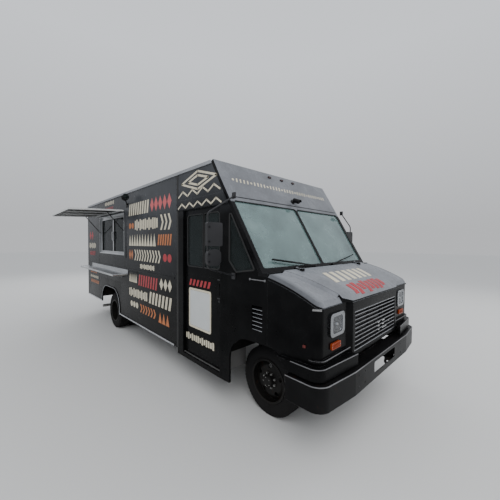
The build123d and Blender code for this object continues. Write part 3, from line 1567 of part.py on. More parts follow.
def door_glass():
    """Two panes of the left sliding door, one each side of its bar."""
    middle = HALF_WIDTH - DOOR_RECESS - DOOR_THICK / 2
    w0, w1, low, top = DOOR_WINDOW
    window = rounded((w0, w1), (low, top), DOOR_WINDOW_CORNER)
    whole = side_solid(window, (middle - GLASS_THICK / 2, middle + GLASS_THICK / 2))
    bar_y = (DOOR_WINDOW_BAR - WINDOW_BAR_HALF, DOOR_WINDOW_BAR + WINDOW_BAR_HALF)
    bar = span((0, REACH), bar_y, (0, REACH))
    return group([whole - bar])


def quarter_glass():
    """Quarter window panes of both sides, in the middle of the skin."""
    inset = (SKIN - GLASS_THICK) / 2
    sheet = side_strip(inset, GLASS_THICK, (CAB_FRONT_Y, DOOR_FRONT), (0, WALL_TOP))
    return both(sheet & side_solid(quarter_face(), (0, REACH)))


# Nose and hood

def nose_outline(drop):
    """Side view of the nose's top line, moved down by drop, from the cab to the front face."""
    rear = (CAB_FRONT_Y, NOSE_TOP_REAR_Z - drop)
    middle = (NOSE_TOP_MID[0], NOSE_TOP_MID[1] - drop)
    front = (NOSE_TOP_FRONT[0], NOSE_TOP_FRONT[1] - drop)
    return rear, middle, front


def nose_side_face(inset, foot):
    """Side view of the nose, moved inward by inset, closed down to foot."""
    rear, middle, front = nose_outline(inset)
    face_y = NOSE_FRONT_Y + inset
    lines = [
        ThreePointArc(rear, middle, front),
        Line(front, (face_y, front[1] - 50)),
        Line((face_y, front[1] - 50), (face_y, foot)),
        Line((face_y, foot), (CAB_FRONT_Y, foot)),
        Line((CAB_FRONT_Y, foot), rear),
    ]
    return make_face(lines)


def nose_plan_face(inset):
    """Nose from above, moved inward by inset, with rounded front corners."""
    rear = half_width(CAB_FRONT_Y) - inset
    front = half_width(NOSE_FRONT_Y + NOSE_CORNER) - inset
    y = NOSE_FRONT_Y + inset
    line = [(-rear, CAB_FRONT_Y), (-front, y), (front, y), (rear, CAB_FRONT_Y)]
    face = make_face(Polyline(*line, close=True))
    corners = face.vertices().sort_by(Axis.Y)[:2]
    return fillet(corners, NOSE_CORNER - inset)


def nose_form(inset, foot):
    """The nose as one block; insets of it make the skin."""
    block = side_solid(nose_side_face(inset, foot), (-REACH, REACH))
    block = block & plan_solid(nose_plan_face(inset), (0, REACH))
    if inset:
        return block
    return chamfer([edge for edge in block.edges() if is_shoulder(edge)], SHOULDER)


def is_shoulder(edge):
    """Whether an edge is one of the long bowed ones where the nose's top meets its sides."""
    middle = edge.center()
    high = middle.Z > NOSE_TOP_MID[1] - 90
    outside = abs(middle.X) > half_width(NOSE_FRONT_Y) - 40
    return high and outside and edge.geom_type != GeomType.LINE and edge.length > 300


def snout_face(half_gap):
    """Plan of the centre section that stands out in front of the lamps."""
    root = SNOUT_ROOT - half_gap
    half = SNOUT_HALF - half_gap
    y = SNOUT_FRONT_Y + half_gap
    line = [(-root, NOSE_FRONT_Y + 30), (-half, y), (half, y), (root, NOSE_FRONT_Y + 30)]
    return make_face(Polyline(*line, close=True))


def hood_panel(inset):
    """Raised middle of the hood, from the cowl down to the lip of the centre section."""
    rear, middle, front = nose_outline(-HOOD_RAISE + inset)
    lip = (SNOUT_FRONT_Y + inset, SNOUT_TOP_Z + 22 - inset)
    lines = [
        ThreePointArc(rear, middle, front),
        Line(front, lip),
        Line(lip, (lip[0], SNOUT_TOP_Z - 60)),
        Line((lip[0], SNOUT_TOP_Z - 60), (CAB_FRONT_Y, SNOUT_TOP_Z - 60)),
        Line((CAB_FRONT_Y, SNOUT_TOP_Z - 60), rear),
    ]
    side = side_solid(make_face(lines), (-REACH, REACH))
    back = HOOD_PANEL_REAR - inset
    front_half = HOOD_PANEL_FRONT - inset
    plan = [
        (-back, CAB_FRONT_Y),
        (-front_half, NOSE_FRONT_Y),
        (-SNOUT_HALF + inset, SNOUT_FRONT_Y + inset),
        (SNOUT_HALF - inset, SNOUT_FRONT_Y + inset),
        (front_half, NOSE_FRONT_Y),
        (back, CAB_FRONT_Y),
    ]
    return side & plan_solid(make_face(Polyline(*plan, close=True)), (0, REACH))


def hood_split(drop):
    """Everything over the seam between hood and nose, the seam moved down by drop."""
    rear, middle, front = nose_outline(HOOD_SKIRT + drop)
    lines = [
        ThreePointArc(rear, middle, front),
        Line(front, (SNOUT_FRONT_Y - 60, SNOUT_TOP_Z - drop)),
        Line((SNOUT_FRONT_Y - 60, SNOUT_TOP_Z - drop), (SNOUT_FRONT_Y - 60, REACH)),
        Line((SNOUT_FRONT_Y - 60, REACH), (CAB_FRONT_Y, REACH)),
        Line((CAB_FRONT_Y, REACH), rear),
    ]
    return side_solid(make_face(lines), (-REACH, REACH))


def hood():
    """Hood shell: the nose's top with its raised panel, skirts and front lip."""
    outer = nose_form(0, SNOUT_TOP_Z - 60) + hood_panel(0)
    inner = nose_form(NOSE_SKIN, SNOUT_TOP_Z - 80) + hood_panel(NOSE_SKIN)
    shell = (outer - inner) & hood_split(0)
    shell = shell & span((-REACH, REACH), (-REACH, HOOD_REAR), (0, REACH))
    hinges = [hood_hinge(x, 0) for x in HOOD_HINGE_X]
    return joined([shell] + hinges)


def hood_hinge(x, half):
    """Hood hinge: half 0 is the hood's strap with its bored eye, half 1 the cowl's lugs and pin."""
    y, z = HOOD_AXIS
    radius = HOOD_HINGE_RADIUS
    wide = HOOD_LUG
    if half == 0:
        eye = rod((x - wide, y, z), (x + wide, y, z), radius)
        strap = span((x - wide, x + wide), (y - 90, y), (z - radius, z - 3))
        foot = span((x - wide, x + wide), (y - 90, y - 50), (z - 60, z - radius + 1))
        bore = rod((x - wide - 1, y, z), (x + wide + 1, y, z), HOOD_HINGE_PIN + RUN)
        return eye + strap + foot - bore
    pieces = [rod((x - 2 * wide, y, z), (x + 2 * wide, y, z), HOOD_HINGE_PIN)]
    for side in (-1, 1):
        lug = sorted((x + side * (wide + SEAT), x + side * 2 * wide))
        pieces.append(rod((lug[0], y, z), (lug[1], y, z), radius))
        pieces.append(span(lug, (CAB_FRONT_Y, y + radius), (SCREEN_FOOT_Z - 1, z)))
    return joined(pieces)


def nose():
    """Fixed nose: face with lamp and grille openings, side skins, ledges and valance."""
    top = SNOUT_TOP_Z + 20
    outer = nose_form(0, NOSE_FOOT_Z) + plan_solid(snout_face(0), (SNOUT_FOOT_Z, SNOUT_TOP_Z + 10))
    inner = nose_form(NOSE_SKIN, NOSE_FOOT_Z - 10)
    room_face = snout_face(NOSE_SKIN)
    half = SNOUT_HALF - 40
    room = plan_solid(room_face, (SNOUT_FOOT_Z + NOSE_SKIN, top))
    room = room + span((-half, half), (NOSE_FRONT_Y - 5, NOSE_FRONT_Y + 60), (GRILLE_FOOT_Z, top))
    shell = outer - inner - room - hood_split(HOOD_GAP)
    grille_y = (SNOUT_FRONT_Y - 5, NOSE_FRONT_Y + 60)
    shell = shell - span((-GRILLE_HALF, GRILLE_HALF), grille_y, (GRILLE_FOOT_Z, GRILLE_TOP_Z))
    through = (NOSE_FRONT_Y - 5, NOSE_FRONT_Y + 40)
    turn_size = (TURN_WIDTH - 2 * TURN_RIM, TURN_HEIGHT - 2 * TURN_RIM)
    for side in (-1, 1):
        lamp = centred(side * LAMP_X, LAMP_Z, LENS_WIDTH, LENS_HEIGHT, LENS_CORNER)
        turn = centred(side * TURN_X, TURN_Z, *turn_size, TURN_CORNER)
        shell = shell - front_solid(lamp, through) - front_solid(turn, through)
    shell = shell - front_arch()
    pieces = [shell]
    for side in (-1, 1):
        pieces.extend([foot_ledge(side), valance(side)])
    return joined(pieces)


def foot_ledge(side):
    """Moulding along the foot of the lamp panel, round the nose's corner."""
    x = sorted((side * VALANCE_INNER, side * REACH))
    outer = plan_solid(nose_plan_face(-LEDGE_PROUD), LEDGE_Z) - plan_solid(nose_plan_face(1), LEDGE_Z)
    return outer & span(x, (-REACH, LEDGE_REAR_Y), LEDGE_Z)


def valance_region(inset, z):
    """Everything inside the valance's outline at inset, between two heights."""
    face = wrap_face(
        VALANCE_INNER,
        VALANCE_FRONT_Y + inset,
        VALANCE_SWEEP_Y + inset,
        VALANCE_HALF - inset,
        CAB_FRONT_Y - 1,
        VALANCE_CORNER - inset,
    )
    return plan_solid(face, z)


def valance(side):
    """Painted panel that wraps round under the nose, from the grille to the wheel arch."""
    low, top = VALANCE_Z
    sheet = VALANCE_SHEET
    band = valance_region(0, VALANCE_Z) - valance_region(sheet, (low - 1, top + 1))
    shelf_plate = valance_region(0, (top - sheet, top)) - nose_form(NOSE_SKIN, NOSE_FOOT_Z - 10)
    x = sorted((side * VALANCE_INNER, side * REACH))
    piece = (band + shelf_plate) & span(x, (-REACH, CAB_FRONT_Y), (0, REACH))
    return piece - front_arch()


def centred(x, z, width, height, radius):
    """Rounded rectangle about a place."""
    return rounded((x - width / 2, x + width / 2), (z - height / 2, z + height / 2), radius)


def grille():
    """Grille: outer frame, level bars and two stays behind them."""
    y = (SNOUT_FRONT_Y + 4, SNOUT_FRONT_Y + 4 + GRILLE_DEPTH)
    x = (-GRILLE_HALF + SEAT, GRILLE_HALF - SEAT)
    z = (GRILLE_FOOT_Z + SEAT, GRILLE_TOP_Z - SEAT)
    rim = GRILLE_FRAME
    room = span((x[0] + rim, x[1] - rim), (y[0] - 1, y[1] + 1), (z[0] + rim, z[1] - rim))
    pieces = [span(x, y, z) - room]
    pitch = (z[1] - z[0] - GRILLE_FRAME) / (GRILLE_BARS + 1)
    for number in range(1, GRILLE_BARS + 1):
        centre = z[0] + GRILLE_FRAME / 2 + number * pitch
        line = [
            (y[0], centre - BAR_HEIGHT / 2),
            (y[0], centre + BAR_HEIGHT / 2),
            (y[0] + BAR_DEPTH, centre + BAR_HEIGHT / 2 + 4),
            (y[0] + BAR_DEPTH, centre - BAR_HEIGHT / 2 + 8),
        ]
        pieces.append(side_prism(line, (x[0] + GRILLE_FRAME - 1, x[1] - GRILLE_FRAME + 1)))
    for place in (-GRILLE_HALF / 3, GRILLE_HALF / 3):
        pieces.append(span((place - 5, place + 5), (y[0] + 14, y[1]), (z[0] + 1, z[1] - 1)))
    return joined(pieces)


def lamp_bezels():
    """Bright surround of each headlamp, standing on the nose's face."""
    bezels = []
    y = (NOSE_FRONT_Y - LAMP_PROUD, NOSE_FRONT_Y)
    for side in (-1, 1):
        x = side * LAMP_X
        ring = centred(x, LAMP_Z, LAMP_WIDTH, LAMP_HEIGHT, LAMP_CORNER)
        hole = centred(x, LAMP_Z, LENS_WIDTH, LENS_HEIGHT, LENS_CORNER)
        bezels.append(front_solid(ring, y) - front_solid(hole, (y[0] - 1, y[1] + 1)))
    return group(bezels)


def headlamps():
    """Sealed-beam blocks behind the bezels."""
    size = (LENS_WIDTH - 2 * SEAT, LENS_HEIGHT - 2 * SEAT)
    y = (NOSE_FRONT_Y - LAMP_PROUD + 5, NOSE_FRONT_Y + 34)
    lamps = []
    for side in (-1, 1):
        face = centred(side * LAMP_X, LAMP_Z, *size, LENS_CORNER - SEAT)
        lamps.append(front_solid(face, y))
    return group(lamps)


def amber_lamps():
    """Turn lamps, the three header markers and the two nose side markers."""
    lamps = []
    for side in (-1, 1):
        face = centred(side * TURN_X, TURN_Z, TURN_WIDTH, TURN_HEIGHT, TURN_CORNER + 4)
        lens = front_solid(face, (NOSE_FRONT_Y - LAMP_PROUD, NOSE_FRONT_Y))
        rim = TURN_RIM + SEAT
        seat = centred(side * TURN_X, TURN_Z, TURN_WIDTH - 2 * rim, TURN_HEIGHT - 2 * rim, TURN_CORNER - SEAT)
        back = front_solid(seat, (NOSE_FRONT_Y - 2, NOSE_FRONT_Y + 26))
        lamps.append(lens + back)
        y, z = SIDE_MARKER
        x = side * half_width(y)
        wide, tall = SIDE_MARKER_HALF
        block = span(sorted((x - side * 12, x + side * 12)), (y - wide, y + wide), (z - tall, z + tall))
        lamps.append(block - nose_form(-SEAT, NOSE_FOOT_Z))
    for x in MARKER_X:
        lens = Pos(x, screen_v(MARKER_Z)) * RectangleRounded(*MARKER_SIZE)
        lamps.append(screen_solid(lens, (-16, 0)))
    return group(lamps)


def tail_lamps():
    """Tail lamps and rear markers on the rear frame."""
    lamps = []
    for x in (-TAIL_X, TAIL_X):
        for z in TAIL_Z:
            lamps.append(rod((x, REAR_END, z), (x, REAR_END + TAIL_PROUD, z), TAIL_RADIUS))
    for x in REAR_MARKER_X:
        face = centred(x, WALL_TOP - 135, *MARKER_SIZE)
        lamps.append(front_solid(face, (REAR_END, REAR_END + 16)))
    return group(lamps)


# Cab furniture and trim

MIRROR_Y = 222
MIRROR_OUT = HALF_WIDTH + 340
MIRROR_FEET = (WALL_TOP - 435, SCREEN_FOOT_Z - 64)
MIRROR_TUBE = 9
MIRROR_BEND = 70
FLAT_HEAD = (-168, 22, 1925, 2170, 22)
ROUND_HEAD = (-150, 22, 1722, 1895, 60)


def mirror_set():
    """Left mirror: bent tube frame from the cab side with a flat and a round-cornered head."""
    wall_x = half_width(MIRROR_Y)
    top, low = MIRROR_FEET
    tube = [
        (wall_x - 4, MIRROR_Y, top),
        (MIRROR_OUT, MIRROR_Y, top - 218),
        (MIRROR_OUT, MIRROR_Y, low + 104),
        (wall_x - 4, MIRROR_Y, low),
    ]
    pieces = [round_path(tube, MIRROR_TUBE, MIRROR_BEND) & mirror_side()]
    foot_y = (MIRROR_Y - 26, MIRROR_Y + 26)
    for z in MIRROR_FEET:
        foot = span((wall_x - 1, wall_x + 14), foot_y, (z - 34, z + 34))
        pieces.append(foot & mirror_side())
    for inner, outer, foot_z, head_z, radius in (FLAT_HEAD, ROUND_HEAD):
        x = (MIRROR_OUT + inner, MIRROR_OUT + outer)
        pieces.append(mirror_head(x, (foot_z, head_z), radius))
    return joined(pieces)


def mirror_side():
    """Space outside the left body side, for feet that stand on it."""
    line = [
        (half_width(CAB_FRONT_Y) + SEAT, CAB_FRONT_Y),
        (half_width(TAPER_START_Y) + SEAT, TAPER_START_Y),
        (REACH, TAPER_START_Y),
        (REACH, CAB_FRONT_Y),
    ]
    return plan_solid(make_face(Polyline(*line, close=True)), (0, REACH))


def mirror_head(x, z, radius):
    """One mirror head: a shallow housing, rounded at its corners."""
    return front_solid(rounded(x, z, radius), (MIRROR_Y - 34, MIRROR_Y + 8))


WIPERS = ((-240, -1), (190, 1))
WIPER_RISE = 9
WIPER_UP = 18
WIPER_ARM = 400
WIPER_BLADE = 520


def wipers():
    """Two wipers parked low across the panes, pointing outward: pivot, arm and blade."""
    sets = []
    for x, way in WIPERS:
        turn = Rot(0, 0, way * WIPER_RISE)
        place = SCREEN_PLANE * Pos(x, WIPER_UP, 0)
        foot = place * extrude(Circle(16), 30)
        arm = place * turn * Pos(way * WIPER_ARM / 2, 0, 24) * Box(WIPER_ARM, 14, 8)
        blade = place * turn * Pos(way * 480, 6, 16) * Box(WIPER_BLADE, 10, 22)
        sets.append(joined([foot, arm, blade]))
    return group(sets)


SEAT_X = 620
SEAT_Y = 860
CUSHION_Z = (FLOOR_TOP + 330, FLOOR_TOP + 440)
BACK_TOP = FLOOR_TOP + 1070


def driver_seat():
    """Driver's seat on its pedestal: base, cushion and back."""
    low, top = CUSHION_Z
    x = (SEAT_X - 150, SEAT_X + 150)
    pedestal = span(x, (SEAT_Y - 150, SEAT_Y + 150), (FLOOR_TOP, low))
    cushion = span((SEAT_X - 240, SEAT_X + 170), (SEAT_Y - 240, SEAT_Y + 230), CUSHION_Z)
    line = [
        (SEAT_Y + 130, top - 10),
        (SEAT_Y + 230, top - 10),
        (SEAT_Y + 350, BACK_TOP - 10),
        (SEAT_Y + 270, BACK_TOP),
    ]
    back = side_prism(line, (SEAT_X - 230, SEAT_X + 160))
    return joined([pedestal, cushion, back])


def dashboard():
    """Dashboard across the cab behind the cowl, on the firewall."""
    front = CAB_FRONT_Y + FIREWALL
    top = SCREEN_FOOT_Z - COWL_THICK
    low = top - DASH_HEIGHT
    line = [(front, top), (front, low), (90, low), (150, low + 150), (110, top - 30), (-60, top)]
    half = half_width(CAB_FRONT_Y) - SKIN - 6
    return side_prism(line, (-half, half))


DASH_HEIGHT = 300
WHEEL_TILT = 35
WHEEL_RING = (215, 13)
WHEEL_PLACE = (SEAT_X - 40, 330, 1690)


def steering_wheel():
    """Steering wheel with three spokes on its column, in front of the driver's seat."""
    ring = Torus(*WHEEL_RING)
    boss = Cylinder(46, 34)
    column = rod((0, 0, -300), (0, 0, 0), 24)
    spokes = []
    for number in range(3):
        spoke = Pos(WHEEL_RING[0] / 2, 0, 0) * Box(WHEEL_RING[0], 26, 10)
        spokes.append(Rot(0, 0, 90 + 120 * number) * spoke)
    wheel = joined([ring, boss, column] + spokes)
    return Pos(*WHEEL_PLACE) * Rot(-WHEEL_TILT, 0, 0) * wheel


FLOOD = (-HALF_WIDTH - 125, 3190, ROOF_TOP - 161)
FLOOD_RADIUS = 54
FLOOD_ARM = 10


def flood_lamp():
    """Round flood lamp over the hatch on an arm from the wall."""
    x, y, z = FLOOD
    head = rod((x, y - 40, z + 8), (x, y + 40, z - 8), FLOOD_RADIUS)
    arm = rod((x, y + 20, z - 10), (-HALF_WIDTH, y + 250, z - 110), FLOOD_ARM)
    foot = span((-HALF_WIDTH - 8, -HALF_WIDTH), (y + 200, y + 300), (z - 150, z - 70))
    outside = span((-REACH, -HALF_WIDTH), (0, REAR_END), (0, REACH))
    return joined([head, arm, foot]) & outside


def both(left):
    """A left piece and its mirror image in one node."""
    return group([left, mirrored(left)])


def pieces():
    """Every piece by name, in the modelling frame."""
    table = {
        "chassis_frame": chassis_frame(),
        "engine": group([engine(), radiator()]),
        "fuel_tank": fuel_tank(),
        "exhaust": exhaust(),
        "springs": springs(),
        "front_axle": front_axle(),
        "rear_axle": rear_axle(),
        "front_bumper": front_bumper(),
        "rear_bumper": rear_bumper(),
        "floor": floor(),
        "firewall": firewall(),
        "step_wells": both(step_well()),
        "wheel_housings": wheel_housings(),
        "kerb_wall": kerb_wall() + hatch_hinge(),
        "driver_wall": wall(),
        "arch_panels": both(arch_panel()),
        "roof": roof(),
        "rear_frame": rear_frame(),
        "cab_front": cab_front(),
        "cab_sides": both(cab_side()),
        "windscreen": windscreen(),
        "side_glass": group([quarter_glass(), serving_glass()]),
        "nose": nose(),
        "hood": hood(),
        "grille": grille(),
        "lamp_bezels": lamp_bezels(),
        "headlamps": headlamps(),
        "amber_lamps": amber_lamps(),
        "tail_lamps": tail_lamps(),
        "serving_window": serving_window(),
        "serving_hatch": serving_hatch(),
        "hatch_stays": hatch_stays(),
        "shelf": shelf(),
        "counter": counter(),
        "mirrors": both(mirror_set()),
        "wipers": wipers(),
        "driver_seat": driver_seat(),
        "dashboard": dashboard() + steering_wheel(),
        "flood_lamp": flood_lamp(),
    }
    twice = {
        "cab_door": cab_door,
        "door_glass": door_glass,
        "rear_door": rear_door,
        "knuckle": knuckle,
        "wheel_front": front_wheel,
        "wheel_rear": rear_wheel,
        "tyre_front": lambda: tyre(FRONT_TRACK_HALF),
        "tyre_rear": rear_tyres,
    }
    for name, make in twice.items():
        left = make()
        table[name + "_left"] = left
        table[name + "_right"] = mirrored(left)
    return table


def middle_of(table):
    """Middle of the footprint of all pieces."""
    boxes = [shape.bounding_box() for shape in table.values()]
    x = (min(box.min.X for box in boxes) + max(box.max.X for box in boxes)) / 2
    y = (min(box.min.Y for box in boxes) + max(box.max.Y for box in boxes)) / 2
    return x, y


MADE = pieces()
SHIFT = middle_of(MADE)
os.makedirs("parts", exist_ok=True)
for name, shape in MADE.items():
    export_step(Pos(-SHIFT[0], -SHIFT[1], 0) * shape, f"parts/{name}.step")
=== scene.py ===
import json
import math
from collections import defaultdict

import bmesh
import bpy
from mathutils import Matrix, Vector
from mathutils.bvhtree import BVHTree


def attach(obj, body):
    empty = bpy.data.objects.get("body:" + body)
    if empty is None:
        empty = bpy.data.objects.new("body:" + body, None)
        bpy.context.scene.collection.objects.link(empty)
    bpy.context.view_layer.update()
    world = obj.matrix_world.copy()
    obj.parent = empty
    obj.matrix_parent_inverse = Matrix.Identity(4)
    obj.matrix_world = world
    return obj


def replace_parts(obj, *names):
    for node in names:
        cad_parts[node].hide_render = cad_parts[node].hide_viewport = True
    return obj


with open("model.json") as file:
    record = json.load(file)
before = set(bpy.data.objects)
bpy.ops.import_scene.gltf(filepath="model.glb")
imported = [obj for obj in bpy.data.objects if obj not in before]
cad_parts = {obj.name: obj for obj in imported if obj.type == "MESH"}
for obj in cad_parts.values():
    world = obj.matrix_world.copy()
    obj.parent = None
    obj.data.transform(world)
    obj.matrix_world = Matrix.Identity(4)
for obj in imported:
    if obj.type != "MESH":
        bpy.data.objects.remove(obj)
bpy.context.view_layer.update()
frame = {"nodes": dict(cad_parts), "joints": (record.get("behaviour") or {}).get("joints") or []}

# Places are given as on the truck: x from the middle, y back from the front axle, z from the
# ground, all in metres. The kerb side with the serving hatch is -x, the front faces -y.
JOINTS = {joint["name"]: joint for joint in frame["joints"]}
STEER = (JOINTS["steer_left"]["pos_m"], JOINTS["steer_right"]["pos_m"])
ORIGIN = Vector(((STEER[0][0] + STEER[1][0]) / 2, STEER[0][1], 0))
WHEELBASE = JOINTS["rear_wheel_left"]["pos_m"][1] - ORIGIN.y
HALF_WIDTH = 1.220
TAPER_START_Y = 0.450
TAPER_END_Y = -0.750
TAPER = 0.070
DOOR_FACE = 1.180
REAR_FACE = 6.500
SCREEN_LEAN = math.radians(31.2)
SCREEN_FOOT = Vector((0, -0.187, 1.660))
UP = Vector((0, 0, 1))
DOWN = Vector((0, 0, -1))
FORWARD = Vector((0, -1, 0))
BACK = Vector((0, 1, 0))
# The driver's side and the kerb side, and how names end there
SIDES = ((1, "left"), (-1, "right"))
SHARP_ANGLE = math.radians(35)


def place(x, y, z):
    """A point on the truck, in the row frame."""
    return ORIGIN + Vector((x, y, z))


def outward(sign):
    """The way out of the body on one side."""
    return Vector((sign, 0, 0))


def half_width(y):
    """Half width of the body, which narrows towards the front."""
    if y >= TAPER_START_Y:
        return HALF_WIDTH
    return HALF_WIDTH - TAPER * (TAPER_START_Y - y) / (TAPER_START_Y - TAPER_END_Y)


def grey(value):
    return (value, value, value)


# Camera, floor and light

CAMERA_AT = (-3.107, -2.010, 1.959)
CAMERA_YAW = math.radians(43.829)
CAMERA_PITCH = math.radians(-1.467)
CAMERA_ROLL = math.radians(0.304)
SENSOR = 36.0
LENS = 19.145
# Height in the sky ramp where the pale horizon ends and where the bright overhead light is full,
# with the colour of each
SKY = ((0.05, (0.60, 0.61, 0.63, 1)), (0.55, (0.90, 0.93, 0.98, 1)))
# Name, place, size, power and aim of each soft light
LIGHTS = [
    ("key", (-6.5, -5.5, 9.0), (7.0, 7.0), 700, (0, 1.0, 1.2)),
    ("fill", (8.0, -4.0, 7.0), (6.0, 6.0), 300, (0, 1.0, 1.2)),
    ("rear", (2.0, 14.0, 8.0), (8.0, 6.0), 400, (0, 5.0, 1.2)),
]
FLOOR_REACH = 60
FLOOR_DROP = 0.0005


def link(name, data):
    """A new object in the scene."""
    made = bpy.data.objects.new(name, data)
    bpy.context.scene.collection.objects.link(made)
    return made


def make_camera():
    data = bpy.data.cameras.new("camera")
    data.sensor_width = SENSOR
    data.lens = LENS
    camera = link("camera", data)
    yaw = Matrix.Rotation(-CAMERA_YAW, 4, "Z")
    pitch = Matrix.Rotation(math.pi / 2 + CAMERA_PITCH, 4, "X")
    roll = Matrix.Rotation(CAMERA_ROLL, 4, "Z")
    camera.matrix_world = Matrix.Translation(place(*CAMERA_AT)) @ yaw @ pitch @ roll
    bpy.context.scene.camera = camera


def make_light():
    """Even pale studio light from all round, with broad soft lights above."""
    world = bpy.data.worlds.new("studio")
    bpy.context.scene.world = world
    world.use_nodes = True
    nodes, links = world.node_tree.nodes, world.node_tree.links
    back = nodes["Background"]
    back.inputs["Strength"].default_value = 1.0
    coord = nodes.new("ShaderNodeTexCoord")
    split = nodes.new("ShaderNodeSeparateXYZ")
    ramp = nodes.new("ShaderNodeValToRGB")
    links.new(coord.outputs["Generated"], split.inputs[0])
    links.new(split.outputs["Z"], ramp.inputs[0])
    links.new(ramp.outputs[0], back.inputs["Color"])
    for element, (height, colour) in zip(ramp.color_ramp.elements, SKY):
        element.position = height
        element.color = colour
    for name, at, size, power, aim in LIGHTS:
        data = bpy.data.lights.new(name, "AREA")
        data.shape = "RECTANGLE"
        data.size, data.size_y = size
        data.energy = power
        light = link(name, data)
        light.location = place(*at)
        direction = place(*aim) - light.location
        light.rotation_euler = direction.to_track_quat("-Z", "Y").to_euler()
        light.visible_glossy = False


def make_floor():
    mesh = bpy.data.meshes.new("studio_floor")
    corners = [(x * FLOOR_REACH, y * FLOOR_REACH, 0) for x, y in ((-1, -1), (1, -1), (1, 1), (-1, 1))]
    mesh.from_pydata(corners, [], [(0, 1, 2, 3)])
    floor = link("studio_floor", mesh)
    floor.location = (0, 0, -FLOOR_DROP)
    material = bpy.data.materials.new("studio_floor")
    material.use_nodes = True
    shader = material.node_tree.nodes["Principled BSDF"]
    shader.inputs["Base Color"].default_value = (0.62, 0.62, 0.61, 1)
    shader.inputs["Roughness"].default_value = 0.9
    mesh.materials.append(material)


# Materials

# The part of a noise's range that is used, in full and for soft blotches
NOISE = (0.3, 0.7)
SOFT_NOISE = (0.35, 0.65)
RUST = (0.16, 0.06, 0.025)
COAT_ROUGHNESS = 0.1


class Net:
    """The nodes of a new material, with short calls for the ones used here."""

    def __init__(self, name):
        self.material = bpy.data.materials.new(name)
        self.material.use_nodes = True
        self.tree = self.material.node_tree
        self.shader = self.tree.nodes["Principled BSDF"]
        self.coord = self.add("TexCoord", {}).outputs

    def feed(self, node, values):
        """Give inputs, by name or number, a node's first output, a socket, a colour or a number."""
        for key, value in values.items():
            socket = node.inputs[key]
            if isinstance(value, bpy.types.Node):
                value = value.outputs[0]
            if isinstance(value, bpy.types.NodeSocket):
                self.tree.links.new(value, socket)
            elif isinstance(value, tuple) and len(value) < len(socket.default_value):
                socket.default_value = (*value, 1)
            else:
                socket.default_value = value

    def add(self, kind, values, **settings):
        node = self.tree.nodes.new("ShaderNode" + kind)
        for key, value in settings.items():
            setattr(node, key, value)
        self.feed(node, values)
        return node

    def show(self, first, second, share):
        """Send a mix of two shaders to the surface."""
        mixed = self.add("MixShader", {0: share, 1: first, 2: second})
        self.feed(self.tree.nodes["Material Output"], {"Surface": mixed})

    def noise(self, scale, detail, rough, stretch=(1, 1, 1)):
        """Noise over the row frame, stretched along the axes."""
        spread = self.add("Mapping", {"Vector": self.coord["Object"], "Scale": stretch})
        values = {"Vector": spread, "Scale": scale, "Detail": detail, "Roughness": rough}
        return self.add("TexNoise", values).outputs["Fac"]

    def span(self, value, low, high, to_low=0.0, to_high=1.0):
        """Map a value from one range to another."""
        values = {"Value": value, "From Min": low, "From Max": high, "To Min": to_low, "To Max": to_high}
        return self.add("MapRange", values).outputs[0]

    def calculate(self, operation, first, second):
        return self.add("Math", {0: first, 1: second}, operation=operation).outputs[0]

    def times(self, value, *others):
        for other in others:
            value = self.calculate("MULTIPLY", value, other)
        return value

    def mix(self, share, first, second):
        return self.add("Mix", {0: share, 6: first, 7: second}, data_type="RGBA").outputs[2]

    def split(self, vector):
        return self.add("SeparateXYZ", {0: vector}).outputs

    def bump(self, height, distance, normal):
        values = {"Strength": 1.0, "Distance": distance, "Height": height}
        if normal is not None:
            values["Normal"] = normal
        return self.add("Bump", values).outputs[0]


